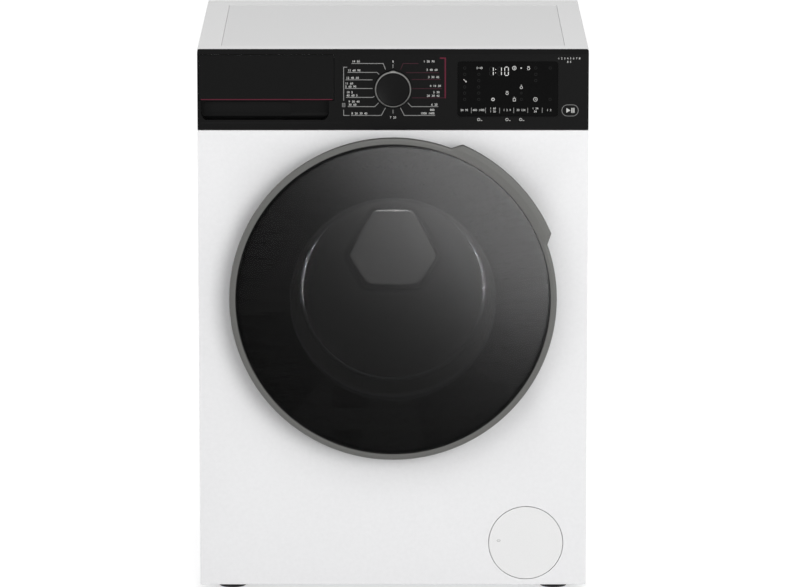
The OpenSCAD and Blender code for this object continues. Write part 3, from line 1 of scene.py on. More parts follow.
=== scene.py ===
"""Looks of a washer dryer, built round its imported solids.

Metres throughout, in the frame of the solids: x to the right, y into the cabinet, z up.
A new piece is a surface worked out as one array of points: a section carried round an axis, or an
outline carried along a path. A solid whose form is right keeps it: its merged copy only gets the
rounded edges of the real sheet or moulding.
"""

import json
import math

import bmesh
import bpy
import numpy as np
from mathutils import Matrix, Vector


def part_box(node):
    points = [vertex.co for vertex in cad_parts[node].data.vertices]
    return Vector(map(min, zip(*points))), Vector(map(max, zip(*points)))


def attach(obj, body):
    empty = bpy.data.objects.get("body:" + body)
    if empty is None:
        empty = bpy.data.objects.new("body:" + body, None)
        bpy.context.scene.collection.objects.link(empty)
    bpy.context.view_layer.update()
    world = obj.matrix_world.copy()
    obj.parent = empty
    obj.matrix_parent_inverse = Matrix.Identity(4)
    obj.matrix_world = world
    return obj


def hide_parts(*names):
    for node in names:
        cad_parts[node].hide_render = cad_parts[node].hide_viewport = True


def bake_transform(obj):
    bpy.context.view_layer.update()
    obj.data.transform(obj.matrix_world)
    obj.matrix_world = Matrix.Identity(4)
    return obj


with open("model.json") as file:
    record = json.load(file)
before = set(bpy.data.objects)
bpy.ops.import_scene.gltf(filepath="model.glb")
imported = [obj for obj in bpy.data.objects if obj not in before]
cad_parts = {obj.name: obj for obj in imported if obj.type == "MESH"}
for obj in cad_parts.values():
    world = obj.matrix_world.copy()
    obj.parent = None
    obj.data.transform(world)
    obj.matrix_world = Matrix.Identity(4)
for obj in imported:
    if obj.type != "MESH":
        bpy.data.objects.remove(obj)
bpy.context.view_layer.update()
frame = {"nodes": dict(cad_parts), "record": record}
scene = bpy.context.scene

BODY_OF = {n: b for b, nodes in frame["record"]["behaviour"]["bodies"].items() for n in nodes}
SLOT_OF = {row["node"]: row["material_slot"] for row in frame["record"]["subparts"]}

# Camera, fitted to the outline of the machine in the photograph
CAMERA_BACK = 8.725  # from the front panel's face
CAMERA_UP = 2.117
CAMERA_PITCH = math.radians(10.68)
SENSOR_MM = 36.0
FOCAL_PIXELS = 5774.0
PICTURE_PIXELS = 786.0


# ---- places, read from the solids


def corners(node):
    """Lowest and highest corner of a solid, as arrays."""
    low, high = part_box(node)
    return np.array(low), np.array(high)


FRONT = corners("front_panel")[0][1]
GLASS_LOW, GLASS_HIGH = corners("door_glass")
RING_LOW, RING_HIGH = corners("door_ring")
DOOR = np.array([(GLASS_LOW[0] + GLASS_HIGH[0]) / 2, (GLASS_LOW[2] + GLASS_HIGH[2]) / 2])
GLASS_R = (GLASS_HIGH[0] - GLASS_LOW[0]) / 2
RING_R = DOOR[0] - RING_LOW[0]


# ---- finishes


def linear(code):
    """An sRGB hex colour as linear red, green, blue and an alpha of one."""
    share = np.array([int(code[i : i + 2], 16) for i in (0, 2, 4)]) / 255
    return (*np.where(share <= 0.04045, share / 12.92, ((share + 0.055) / 1.055) ** 2.4), 1.0)


def add(tree, kind, values=None, links=None, **attributes):
    """Adds a shader node of a kind with its attributes, the values of its inputs and the sockets
    linked to them."""
    made = tree.nodes.new("ShaderNode" + kind)
    for key, value in attributes.items():
        setattr(made, key, value)
    for key, value in (values or {}).items():
        made.inputs[key].default_value = value
    for key, socket in (links or {}).items():
        tree.links.new(socket, made.inputs[key])
    return made


def finish(name, colour, shade, grain, roughness, spread=0.04, relief=0.0, stretch=(1, 1, 1),
           figure="clouds", shine=0.5, **sockets):
    """A finish whose colour goes from one hex value to another over a grain of that size in metres,
    its roughness by the spread, and its skin by the relief, which is a height in metres. The figure
    is clouds, crystals or a square grid of dots that stands on its corner."""
    made = bpy.data.materials.new(name)
    made.use_nodes = True
    tree = made.node_tree
    shader = tree.nodes["Principled BSDF"]
    place = add(tree, "TexCoord").outputs["Object"]
    turn = math.pi / 4 if figure == "dots" else 0.0
    scaled = add(tree, "Mapping", {"Scale": [s / grain for s in stretch],
                                             "Rotation": (0, turn, 0)},
                 {"Vector": place}).outputs["Vector"]
    kind, values, output = {
        "clouds": ("TexNoise", {"Detail": 3.0}, "Fac"),
        "crystals": ("TexVoronoi", {}, "Color"),
        "dots": ("TexVoronoi", {"Randomness": 0.0}, "Distance")}[figure]
    share = add(tree, kind, {"Scale": 1.0, **values}, {"Vector": scaled}).outputs[output]
    if figure == "crystals":
        share = add(tree, "SeparateColor", links={"Color": share}).outputs["Red"]
    ramp = add(tree, "ValToRGB", links={"Fac": share})
    ramp.color_ramp.elements[0].position, ramp.color_ramp.elements[1].position = 0.3, 0.7
    ramp.color_ramp.elements[0].color = linear(shade)
    ramp.color_ramp.elements[1].color = linear(colour)
    tree.links.new(ramp.outputs["Color"], shader.inputs["Base Color"])
    rough = add(tree, "MapRange",
                {"To Min": max(roughness - spread, 0.0), "To Max": roughness + spread},
                {"Value": share})
    tree.links.new(rough.outputs["Result"], shader.inputs["Roughness"])
    if relief:
        bump = add(tree, "Bump", {"Distance": relief, "Strength": 1.0}, {"Height": share})
        tree.links.new(bump.outputs["Normal"], shader.inputs["Normal"])
    for key, value in {"Specular_IOR_Level": shine, **sockets}.items():
        shader.inputs[key.replace("_", " ")].default_value = value
    return made


# Stoved enamel: sprayed on the steel and baked, a soft gloss with a faint orange peel of 6 mm
white_enamel = finish("white_stoved_enamel", "ebebec", "e8e8e9", 0.006, 0.42, 0.03, 4e-6,
                      shine=0.3)
# Galvanised sheet: dipped in zinc, whose crystals of 8 mm are each a little lighter or darker
galvanised = finish("galvanised_sheet", "b2b5b8", "abaeb1", 0.008, 0.42, 0.03,
                    figure="crystals", Metallic=1.0)
# White ABS, moulded in an eroded tool: satin, with a grain of 1.2 mm
white_abs = finish("white_moulded_abs", "e9e9e9", "e5e5e5", 0.0012, 0.42, 0.04, 1e-5, shine=0.4)
# Melamine-faced board: resin paper pressed on a board, a satin face with a grain of 0.8 mm
white_melamine = finish("white_melamine_board", "e6e6e6", "e2e2e2", 0.0008, 0.5, 0.05, 1e-5,
                        shine=0.3)
# Black ABS from a polished mould: near-black, with a clear shine a little hazy at 1.5 mm
black_abs = finish("black_polished_abs", "0b0b0b", "080808", 0.0015, 0.3, 0.03, 3e-6, shine=0.09)
# The same moulding where the mould is eroded: a grain of 0.9 mm that scatters more light
grained_black = finish("black_grained_abs", "0a0a0a", "080808", 0.0009, 0.55, 0.05, 1e-5,
                       shine=0.12)
# Smoked acrylic, cast in sheets: darker and clearer than the fascia, with waves of 3 mm
smoked_acrylic = finish("smoked_acrylic", "070707", "050505", 0.003, 0.18, 0.02, shine=0.05)
# Solder mask, screened on glass-fibre board: green, half gloss, its weave showing at 0.9 mm
solder_mask = finish("green_solder_mask", "1c5a34", "17482a", 0.0009, 0.38, 0.05, 2e-5)
# Light grey polypropylene, injection moulded: a waxy sheen and flow marks of 4 mm
grey_polypropylene = finish("light_grey_polypropylene", "c9cccf", "bfc3c6", 0.004, 0.45, 0.05, 1e-5)
# Blue polypropylene, moulded, for what the user takes out: the same sheen, flow marks of 3 mm
blue_polypropylene = finish("blue_polypropylene", "3f7fae", "3771a0", 0.003, 0.4, 0.05, 1e-5)
# Polypropylene filled with chalk, moulded thick for the tub: dull grey with clouds of 9 mm
tub_polypropylene = finish("chalk_filled_polypropylene", "b4b8ba", "a5a9ab", 0.009, 0.6, 0.06, 3e-5)
# Dark polyamide, moulded with glass fibre: half dull, the fibres a fleck of 1.6 mm
dark_polyamide = finish("dark_polyamide", "2b2c2e", "232426", 0.0016, 0.5, 0.05, 2e-5)
# Grey metallic lacquer, sprayed on the door's ring: its flakes drawn at 1 mm to show at all
ring_lacquer = finish("grey_metallic_lacquer", "636361", "5c5c5a", 0.001, 0.45, 0.05, 3e-6,
                      Metallic=0.3, shine=0.3)
# Dark grey ABS of the door's inner frame, moulded: dull beside the glass, with a 1.2 mm grain
door_abs = finish("dark_grey_abs", "1f2021", "1b1c1d", 0.0012, 0.5, 0.05, 1e-5, shine=0.2)
# Zinc-plated steel of hinge, springs and rods: a cool half shine, clouded at 3.5 mm
plated_steel = finish("zinc_plated_steel", "a9abad", "9a9c9e", 0.0035, 0.34, 0.08, 5e-6,
                      Metallic=1.0)
# Satin chrome, plated on the knob's ring: one soft band of light, faint clouds of 2 mm
bright_chrome = finish("satin_chrome", "8f8f8d", "858583", 0.002, 0.32, 0.03, Metallic=1.0)
# Rolled stainless sheet of the drum: a soft metal sheen, its 1.2 mm lines run front to back
stainless = finish("rolled_stainless", "8e8e8d", "7a7a79", 0.0012, 0.46, 0.08, 4e-6,
                   stretch=(1, 0.05, 1), Metallic=1.0)
# Polished stainless of the pressed hub: it mirrors what stands before the door, waves of 4 mm
polished_stainless = finish("polished_stainless", "dededd", "d4d4d3", 0.004, 0.1, 0.03,
                            Metallic=1.0)
# Die-cast aluminium, chilled in the die: a dull, mottled metal, spots of 4 mm
die_cast = finish("die_cast_aluminium", "b2b4b6", "a2a4a6", 0.004, 0.46, 0.07, 3e-5,
                  Metallic=1.0)
# Grey EPDM rubber of the bellows, moulded and dusted with talc: quite dull, a 5 mm bloom
grey_rubber = finish("grey_epdm_rubber", "6f7376", "65696c", 0.005, 0.62, 0.06, 2e-5)
# Black EPDM rubber of hoses, belt and feet, moulded: dull black with clouds of 4 mm
black_rubber = finish("black_epdm_rubber", "1c1c1d", "161617", 0.004, 0.68, 0.06, 3e-5)
# Concrete of the counterweights, cast and left raw: dead matt, sand and pits at 6 mm
concrete = finish("cast_concrete", "a5a49e", "8d8c86", 0.006, 0.85, 0.05, 0.0002)
# Shade in a punched hole: next to no light comes back, so it is near-black and matt
punched_dark = finish("shade_in_the_holes", "0c0c0d", "060606", 0.002, 0.8)
# Inks screened on the fascia and baked: flat and matt, with the 0.6 mm trace of the mesh
white_ink, grey_ink, dim_ink, crimson_ink, dark_crimson_ink = (
    finish(name + "_screen_print", colour, shade, 0.0006, rough, shine=level)
    for name, colour, shade, rough, level in (
        ("white", "c4c4c2", "bbbbb9", 0.55, 0.2), ("grey", "8c8c8b", "828281", 0.55, 0.2),
        ("dim", "181818", "161616", 0.55, 0.1), ("crimson", "5a0c27", "4e0a21", 0.5, 0.2),
        ("dark_crimson", "35091a", "2d0715", 0.5, 0.2)))
# Lit segments: diodes behind a white diffuser, a little glow through the smoked insert
lit_segment = finish("lit_segment", "d8d8d6", "d0d0ce", 0.0006, 0.5,
                     Emission_Color=linear("e8e8e6"), Emission_Strength=0.2)
# Tinted acrylic of the door's cover, moulded and dyed through: dark and glossy, with a grid of
# duller dots 3.6 mm apart that show where it mirrors light
tinted_acrylic = finish("dark_tinted_acrylic", "060606", "050505", 0.0036, 0.2, 0.03,
                        stretch=(1, 0.001, 1), figure="dots", Alpha=0.52, shine=0.05)
# Ceramic ink, baked on the back of the cover: an opaque, matt black rim, even to 2 mm
black_border = finish("black_border_print", "0a0a0a", "080808", 0.002, 0.6, shine=0.2)
# Soda-lime glass of the bowl, pressed hot: clear, with slow waves of 30 mm
pressed_glass = finish("pressed_glass", "2a2e2e", "242828", 0.03, 0.06, 0.02,
                       Alpha=0.1, IOR=1.52)
# The same glass in its tight bend, painted a lighter grey and less clear than the rest: a painted
# highlight along the bend
painted_highlight_glass = finish("pressed_glass_painted_highlight_bend", "8f9696", "868d8d", 0.03, 0.06, 0.02,
                    Alpha=0.4, IOR=1.52)

FINISH_OF_SLOT = {
    "white_steel": white_enamel, "galvanised_steel": galvanised, "white_plastic": white_abs,
    "white_board": white_melamine, "black_gloss_plastic": black_abs,
    "smoked_window": smoked_acrylic, "circuit_board": solder_mask,
    "light_grey_plastic": grey_polypropylene, "blue_plastic": blue_polypropylene,
    "tub_plastic": tub_polypropylene, "dark_plastic": dark_polyamide, "grey_ring": ring_lacquer,
    "door_frame_plastic": door_abs, "tinted_glass": tinted_acrylic, "bowl_glass": pressed_glass,
    "hinge_steel": plated_steel, "stainless_steel": stainless, "cast_aluminium": die_cast,
    "rubber": black_rubber, "damper_plastic": dark_polyamide, "concrete": concrete,
}
for node, solid in frame["nodes"].items():
    solid.data.materials.clear()
    solid.data.materials.append(FINISH_OF_SLOT[SLOT_OF[node]])


# ---- surfaces


def grid_faces(rows, columns, closed=False):
    """Quads between neighbouring points of a grid whose rows run round; closed, its columns too."""
    row, column = np.meshgrid(np.arange(rows if closed else rows - 1), np.arange(columns),
                              indexing="ij")
    below, beside = (row + 1) % rows, (column + 1) % columns
    return np.stack([row * columns + column, row * columns + beside,
                     below * columns + beside, below * columns + column], -1).reshape(-1, 4)


def placed(name, data):
    """An object of the scene, at the origin, that holds this data."""
    made = bpy.data.objects.new(name, data)
    scene.collection.objects.link(made)
    return made


def make(name, points, faces, material, sharp=32):
    """A mesh of these points and faces, merged, its faces outwards and smooth up to an angle."""
    mesh = bpy.data.meshes.new(name)
    mesh.from_pydata(points.reshape(-1, 3).tolist(), [], faces.tolist())
    tidy = bmesh.new()
    tidy.from_mesh(mesh)
    bmesh.ops.remove_doubles(tidy, verts=tidy.verts, dist=1e-7)
    bmesh.ops.recalc_face_normals(tidy, faces=tidy.faces)
    tidy.to_mesh(mesh)
    tidy.free()
    return show(name, mesh, material, sharp)


def show(name, mesh, material, sharp=32):
    """An object for a mesh, smooth up to an angle in degrees, with its finish."""
    mesh.polygons.foreach_set("use_smooth", np.ones(len(mesh.polygons), bool))
    mesh.set_sharp_from_angle(angle=math.radians(sharp))
    mesh.materials.clear()
    mesh.materials.append(material)
    return placed(name, mesh)


def carry(piece, node, replaced=False):
    """The piece moves with a node's body and may stand for the node."""
    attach(piece, BODY_OF[node])
    if replaced:
        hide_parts(node)
    return piece


def full_turn(steps):
    """Angles in equal steps once round."""
    return 2 * math.pi * np.arange(steps) / steps


def round_axis(radius, depth, angle, centre=DOOR):
    """Points at radii, depths and angles round a line along y: x and z run on a circle."""
    radius, depth, angle = np.broadcast_arrays(radius, depth, angle)
    return np.stack([centre[0] + radius * np.cos(angle), depth,
                     centre[1] + radius * np.sin(angle)], -1)


def turned(section, centre=DOOR, steps=240):
    """A section of radii and depths carried round a line along y."""
    radius, depth = np.asarray(section, float).T[:, :, None]
    return round_axis(radius, depth, full_turn(steps), centre)


def formed(name, points, node, material, replaced=False, closed=True, sharp=32):
    """A grid of points whose rows run round, as a piece; closed, it is a hollow ring or shell."""
    piece = make(name, points, grid_faces(*points.shape[:2], closed), material, sharp)
    return carry(piece, node, replaced)


def turned_piece(name, section, node, material, replaced=False, closed=True, centre=DOOR,
                 steps=240):
    """A turned section as a piece."""
    return formed(name, turned(section, centre, steps), node, material, replaced, closed)


def softened(path, reach, closed=True, steps=5):
    """A path whose corners are replaced by short curves: the quadratic between the points that lie
    a reach before and behind the corner, drawn towards the corner."""
    here = np.asarray(path, float)
    reach = np.broadcast_to(np.asarray(reach, float), len(here))
    before, after = np.roll(here, 1, 0) - here, np.roll(here, -1, 0) - here
    size_before, size_after = np.linalg.norm(before, axis=1), np.linalg.norm(after, axis=1)
    take_before = (np.minimum(reach, 0.45 * size_before) / size_before)[:, None]
    take_after = (np.minimum(reach, 0.45 * size_after) / size_after)[:, None]
    if not closed:
        take_before[[0, -1]] = take_after[[0, -1]] = 0
    t = np.linspace(0, 1, steps)[None, :, None]
    curve = ((1 - t) ** 2 * (here + before * take_before)[:, None]
             + 2 * t * (1 - t) * here[:, None] + t ** 2 * (here + after * take_after)[:, None])
    flat = curve.reshape(-1, here.shape[1])
    keep = np.ones(len(flat), bool)
    keep[1:] = np.linalg.norm(np.diff(flat, axis=0), axis=1) > 1e-7
    return flat[keep]


def both_sides(path, thickness):
    """Closed outline of a wall of that thickness on the left of an open path."""
    step = np.gradient(path, axis=0)
    normal = np.stack([-step[:, 1], step[:, 0]], -1)
    normal /= np.linalg.norm(normal, axis=1)[:, None]
    return np.concatenate([path, (path + thickness * normal)[::-1]])


def circle(radius, centre, steps, start=0.0, sweep=2 * math.pi):
    """Points of a circle, or of an arc of it from start over a sweep."""
    angle = start + np.linspace(0, sweep, steps, endpoint=sweep < 2 * math.pi)
    return np.stack([centre[0] + radius * np.cos(angle), centre[1] + radius * np.sin(angle)], -1)


def round_box(x, z, radius, steps=7):
    """A rectangle between two values each way with its corners on quarter circles."""
    centres = [(x[1] - radius, z[1] - radius), (x[0] + radius, z[1] - radius),
               (x[0] + radius, z[0] + radius), (x[1] - radius, z[0] + radius)]
    return np.concatenate([circle(radius, c, steps, math.pi / 2 * n, math.pi / 2)
                           for n, c in enumerate(centres)])


def upright(curve, name, depth):
    """A curve or text drawn in x and y, made a mesh that stands in x and z at a depth."""
    holder = placed(name, curve)
    bpy.context.view_layer.update()
    mesh = bpy.data.meshes.new_from_object(
        holder.evaluated_get(bpy.context.evaluated_depsgraph_get()))
    bpy.data.objects.remove(holder)
    points = np.zeros(len(mesh.vertices) * 3)
    mesh.vertices.foreach_get("co", points)
    x, y, z = points.reshape(-1, 3).T
    mesh.vertices.foreach_set("co", np.stack([x, depth - z, y], -1).ravel())
    mesh.update()
    return mesh


def flat_piece(name, outlines, material, node, front, back, edge=0.0):
    """A flat piece with round edges: closed outlines in x and z, any holes included, filled and
    thickened from a front to a back depth. The outlines lie an edge's radius inside the rim."""
    curve = bpy.data.curves.new(name, "CURVE")
    curve.dimensions, curve.fill_mode = "2D", "BOTH"
    curve.extrude, curve.bevel_depth = (back - front) / 2 - edge, edge
    curve.bevel_resolution = 3
    for outline in outlines:
        spline = curve.splines.new("POLY")
        spline.points.add(len(outline) - 1)
        spline.points.foreach_set("co", np.column_stack(
            [outline, np.zeros(len(outline)), np.ones(len(outline))]).ravel())
        spline.use_cyclic_u = True
    carry(show(name, upright(curve, name, (front + back) / 2), material), node)


def joined(name, meshes):
    """One mesh of several."""
    whole = bmesh.new()
    for mesh in meshes:
        whole.from_mesh(mesh)
    bmesh.ops.remove_doubles(whole, verts=whole.verts, dist=1e-7)
    made = bpy.data.meshes.new(name)
    whole.to_mesh(made)
    whole.free()
    return made


def merged_copy(node):
    """A solid's own form as one merged mesh whose flat facets are joined."""
    mesh = frame["nodes"][node].data.copy()
    tidy = bmesh.new()
    tidy.from_mesh(mesh)
    bmesh.ops.remove_doubles(tidy, verts=tidy.verts, dist=1e-6)
    bmesh.ops.dissolve_limit(tidy, angle_limit=math.radians(1.0), verts=tidy.verts,
                             edges=tidy.edges)
    tidy.to_mesh(mesh)
    tidy.free()
    if mesh.has_custom_normals:
        with bpy.context.temp_override(object=None):
            mesh.attributes.remove(mesh.attributes["custom_normal"])
    return show(node + "_finished", mesh, FINISH_OF_SLOT[SLOT_OF[node]])


def dressed(node, edge):
    """A merged copy of a solid with a bevel on every edge that turns by more than 35 degrees."""
    piece = merged_copy(node)
    bevel = piece.modifiers.new("rounding", "BEVEL")
    bevel.width, bevel.segments, bevel.limit_method = edge, 3, "ANGLE"
    bevel.angle_limit, bevel.use_clamp_overlap = math.radians(35), True
    bevel.harden_normals = True
    carry(piece, node, True)


# ---- cabinet

# Solids that keep their form, by the radius in which pressing, moulding or casting leaves the edges
for edge, nodes in {
    0.0003: ("display_window", "rear_panel", "rear_service_cover", "base_frame", "top_braces",
             "door_hinge_bracket", "door_hinge_leaf", "door_latch_hook", "control_board",
             "shaft_bearings", "motor_rotor", "left_damper_rod", "right_damper_rod"),
    0.0004: ("filter_surround", "filter_flap"),
    0.0005: ("drawer_tray",),
    0.0006: ("drawer_front", "siphon_cap", "rear_grommets", "door_inner_frame", "door_lock",
             "dispenser_housing", "inlet_valve", "drain_pipe", "pump_housing", "pump_filter",
             "pump_impeller", "fan_impeller", "tub_heater", "left_damper_cylinder",
             "right_damper_cylinder", "drum_pulley"),
    0.0007: ("front_panel", "left_side_panel", "right_side_panel", "control_fascia"),
    0.0008: ("worktop_board",),
    0.001: ("tub_front_shell", "tub_rear_shell", "drum_spider", "motor_housing", "drying_duct",
            "fan_housing", "foot_front_left", "foot_front_right", "foot_rear_left",
            "foot_rear_right"),
    0.0016: ("worktop_frame",),
    0.003: ("drum_lifters", "counterweights"),
}.items():
    for node in nodes:
        dressed(node, edge)


def hung(piece, node, top, low):
    """A soft piece between the cabinet and the hung tub, its place baked into its points; it stands
    for its node. The ends top and low are not used."""
    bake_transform(piece)
    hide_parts(node)


for node, top_on_cabinet in {"suspension_springs": True, "dispenser_hose": True,
                             "sump_hose": False}.items():
    low, high = corners(node)
    ends = [tuple(high), (high[0], high[1], low[2])]
    hung(merged_copy(node), node, *(ends if top_on_cabinet else ends[::-1]))

# Bellows of the door's opening: a lip on the front panel, a soft fold and a lip on the tub's neck
GASKET_T = 0.0025
gasket_back = corners("door_gasket")[1][1]
fold = (0, FRONT) + softened(
    [[0.1608, 0.006], [0.1658, 0.012], [0.174, 0.012], [0.179, 0.015], [0.1705, 0.025],
     [0.173, 0.031], [0.1868, 0.034], [0.187, 0.0405], [0.1843, 0.0425],
     [0.1843, gasket_back - FRONT]],
    [0, 0.003, 0.003, 0.004, 0.005, 0.004, 0.004, 0.002, 0.002, 0], closed=False, steps=7)
points = turned(both_sides(fold, GASKET_T))
hung(make("door_bellows", points, grid_faces(*points.shape[:2], True), grey_rubber),
     "door_gasket", (0, FRONT + 0.012, 0), (0, gasket_back, 0))


PULLEY_R = 0.14
PINION, PINION_R = (-0.11, 0.13), 0.01
RIBS = 6
BELT_BACK, RIB_FOOT, RIB_TIP = 0.0042, 0.0021, 0.0003  # heights over the pulley


def belt_points():
    """The ribbed belt: a section of a flat back and six ribs, carried round both pulleys. A point
    lies on its pulley's radius plus its height in the section, at angles that run from one
    tangent to the other; the straight runs join them."""
    wheel, pinion = np.array([*DOOR, PULLEY_R]), np.array([*PINION, PINION_R])
    apart = pinion[:2] - wheel[:2]
    way, fall = math.atan2(apart[1], apart[0]), math.acos(
        (wheel[2] - pinion[2]) / np.linalg.norm(apart))
    whole, on_wheel, on_pinion = 2 * math.pi, 96, 24
    angle = np.concatenate([np.linspace(way + fall, way - fall + whole, on_wheel),
                            np.linspace(way - fall + whole, way + fall + whole, on_pinion)])
    round_what = np.where(np.arange(len(angle))[:, None] < on_wheel, wheel, pinion)
    low, high = corners("drive_belt")
    edges = 2 * RIBS + 1
    height = np.concatenate([[BELT_BACK, BELT_BACK],
                             np.where(np.arange(edges) % 2, RIB_TIP, RIB_FOOT)])
    depth = np.concatenate([[low[1], high[1]], np.linspace(high[1], low[1], edges)])
    reach = round_what[:, 2:] + height
    return np.stack([round_what[:, :1] + reach * np.cos(angle)[:, None],
                     np.tile(depth, (len(angle), 1)),
                     round_what[:, 1:2] + reach * np.sin(angle)[:, None]], -1)


formed("ribbed_belt", belt_points(), "drive_belt", black_rubber, True)


def repeated(shape, places):
    """One grid of points moved to each place, or a grid for each place, and all their faces."""
    points = places[:, None, None] + shape
    rows, columns = shape.shape[-3:-1]
    faces = grid_faces(rows, columns) + rows * columns * np.arange(len(places))[:, None, None]
    return points, faces.reshape(-1, 4)


def screw_heads(places):
    """Hexagon heads with a round collar, one at each place: rings of radius and height whose
    hexagon rows reach the full radius at the corners and its cosine of 30 degrees between."""
    rows = np.array([[0.0058, 0.0, 0], [0.0056, 0.0009, 0], [0.0042, 0.0011, 1],
                     [0.0042, 0.0037, 1], [0.0034, 0.0042, 0], [0.0, 0.0042, 0]])
    flat = np.where(np.arange(12) % 2, math.cos(math.pi / 6), 1.0)
    radius = rows[:, :1] * np.where(rows[:, 2:] > 0, flat, 1.0)
    head = round_axis(radius, rows[:, 1:2], full_turn(12), (0, 0))
    return repeated(head, np.asarray(places))


BACK = corners("rear_panel")[1][1]
ON_COVER = BACK + 0.001
points, faces = screw_heads(
    [(x, BACK, z) for x in (-0.289, 0.289) for z in (0.05, 0.24, 0.43, 0.62, 0.79)]
    + [(x, BACK, z) for z in (0.812, 0.022) for x in (-0.15, 0.0, 0.15)]
    + [(x, ON_COVER, z) for x in (-0.1438, 0.1438) for z in (0.375, 0.475, 0.575)]
    + [(x, ON_COVER, z) for x in (-0.07, 0.07) for z in (0.3062, 0.6438)])
# They are plated as the hinge is, and stay with the cabinet as its bracket does
carry(make("rear_screw_heads", points, faces, plated_steel, 30), "door_hinge_bracket")

# ---- door

HANDLE_FROM, HANDLE_TO = math.radians(19.9), math.radians(69.2)
HANDLE_SLOPE = math.radians(3.1)
HANDLE_RISE = 0.0118

crest = RING_LOW[1]
ring_back = RING_HIGH[1]
ring_inner = GLASS_R + 0.0003
pocket_floor = corners("door_hinge_leaf")[0][1]
POCKET_HALF = 0.05


def handle_rise(angle):
    """How far the ring's rim stands out at an angle: a level rise, sloped straight at its ends."""
    into = np.clip((angle - HANDLE_FROM) / HANDLE_SLOPE, 0, 1)
    out_of = np.clip((HANDLE_TO - angle) / HANDLE_SLOPE, 0, 1)
    return HANDLE_RISE * np.minimum(into, out_of)


def ring_points(steps=720):
    """The trim ring: its section's radii carried round the door, the outer ones pushed out by
    shares of the handle's rise, so that the handle grows out of the ring's own rim. Where the
    hinge's pocket lies, no depth goes beyond the pocket's floor."""
    outer, taper, wall = RING_R, 0.0095, 0.0026
    section = softened([
        [ring_inner, crest + 0.0042, 0], [ring_inner, crest + 0.0005, 0],
        [ring_inner + 0.0003, crest, 0], [outer - 0.0045, crest, 0.6],
        [outer - 0.001, crest + 0.001, 1], [outer, crest + 0.004, 1], [outer, crest + 0.008, 1],
        [outer - 0.0015, crest + 0.016, 1], [outer - 0.004, crest + 0.018, 0.4],
        [outer - taper, ring_back, 0],
        [outer - taper - wall, ring_back, 0], [outer - wall - 0.003, crest + 0.012, 0],
        [ring_inner + 0.003, crest + 0.0085, 0], [ring_inner - 0.002, crest + 0.0065, 0],
        [ring_inner - 0.002, crest + 0.0045, 0]], 0.0012, steps=4)
    angle = full_turn(steps)
    radius = section[:, :1] + section[:, 2:] * handle_rise(angle)
    depth = np.repeat(section[:, 1:2], steps, 1)
    pocket = (np.cos(angle) < 0) & (np.abs(RING_R * np.sin(angle)) < POCKET_HALF)
    depth[:, pocket] = np.minimum(depth[:, pocket], pocket_floor)
    return round_axis(radius, depth, angle)


formed("door_trim_ring", ring_points(), "door_ring", ring_lacquer, True, sharp=40)

# The cover: a shallow dome from the rim to the middle, with a flat back
DOME_RISE = 0.0018
radii = np.linspace(0, GLASS_R - 0.0007, 40)
dome = GLASS_LOW[1] + DOME_RISE * (radii / GLASS_R) ** 2
cover = np.concatenate([
    np.stack([radii, dome], -1),
    [[GLASS_R - 0.0002, dome[-1] + 0.0002], [GLASS_R, dome[-1] + 0.0008],
     [GLASS_R, GLASS_HIGH[1]], [0, GLASS_HIGH[1]]]])
turned_piece("door_cover", cover, "door_glass", tinted_acrylic, True, closed=False, steps=360)

# Border printed black on the back of the cover, which hides what holds the glass
border_inner, border_outer = 0.158, GLASS_R - 0.002
border_front, border_back = GLASS_HIGH[1], GLASS_HIGH[1] + 0.0002
turned_piece("cover_border_print", [
    [border_inner, border_front], [border_outer, border_front],
    [border_outer, border_back], [border_inner, border_back]], "door_glass", black_border)

# The bowl: a flange and a cone, one tight bend and a domed end, pressed with an even wall. The bend
# is a ring of its own, in glass painted lighter and less clear as a painted highlight; the two
# strips light only it
BOWL_WALL = 0.004
BOWL_CORNER = np.array([0.1433, FRONT + 0.0535])
BEND_REACH = 0.004
flange = corners("door_bowl")[0][1] + BOWL_WALL
bowl_path = softened([[0.176, flange], [0.165, flange], BOWL_CORNER, [0.118, FRONT + 0.0582],
                      [0.085, FRONT + 0.0625], [0.045, FRONT + 0.0652], [0.0, FRONT + 0.066]],
                     [0, 0.006, BEND_REACH, 0.01, 0.02, 0.02, 0], closed=False, steps=11)
inner, outer = np.split(both_sides(bowl_path, BOWL_WALL), 2)
inner, outer = np.maximum(inner, (0, -1)), np.maximum(outer[::-1], (0, -1))
bend = np.flatnonzero(np.linalg.norm(bowl_path - BOWL_CORNER, axis=1) < BEND_REACH * 1.05)
for name, first, last, material, replaced in (
        ("pressed_bowl", 0, bend[0], pressed_glass, True),
        ("bowl_bend", bend[0], bend[-1], painted_highlight_glass, False),
        ("bowl_end", bend[-1], len(inner) - 1, pressed_glass, False)):
    section = np.concatenate([inner[first:last + 1], outer[first:last + 1][::-1]])
    turned_piece(name, section, "door_bowl", material, replaced)

# ---- drum

drum_low, drum_high = corners("drum_shell")
DRUM_R = (drum_high[0] - drum_low[0]) / 2
BACK_STEP = 0.009
SHEET = 0.001
drum_front, drum_back = drum_low[1], drum_high[1]

barrel = softened([[0.171, drum_front], [0.168, drum_front + 0.002], [0.169, drum_front + 0.006],
                   [DRUM_R - 0.032, drum_front + 0.01], [DRUM_R - 0.004, drum_front + 0.018],
                   [DRUM_R, drum_front + 0.03], [DRUM_R, drum_back - 0.012],
                   [DRUM_R - 0.006, drum_back], [0.096, drum_back]],
                  [0, 0.001, 0.002, 0.008, 0.008, 0.008, 0.004, 0.004, 0], closed=False)
turned_piece("drum_barrel", both_sides(barrel, SHEET), "drum_shell", stainless, True, steps=300)


HUB_ARM, HUB_FLANK = 0.065, 0.0573  # from the middle to the sides
CORNER_POWER = 22  # the higher, the tighter the hub's corners
BACK_REACH = 0.0965
FACET_FALL = 0.14


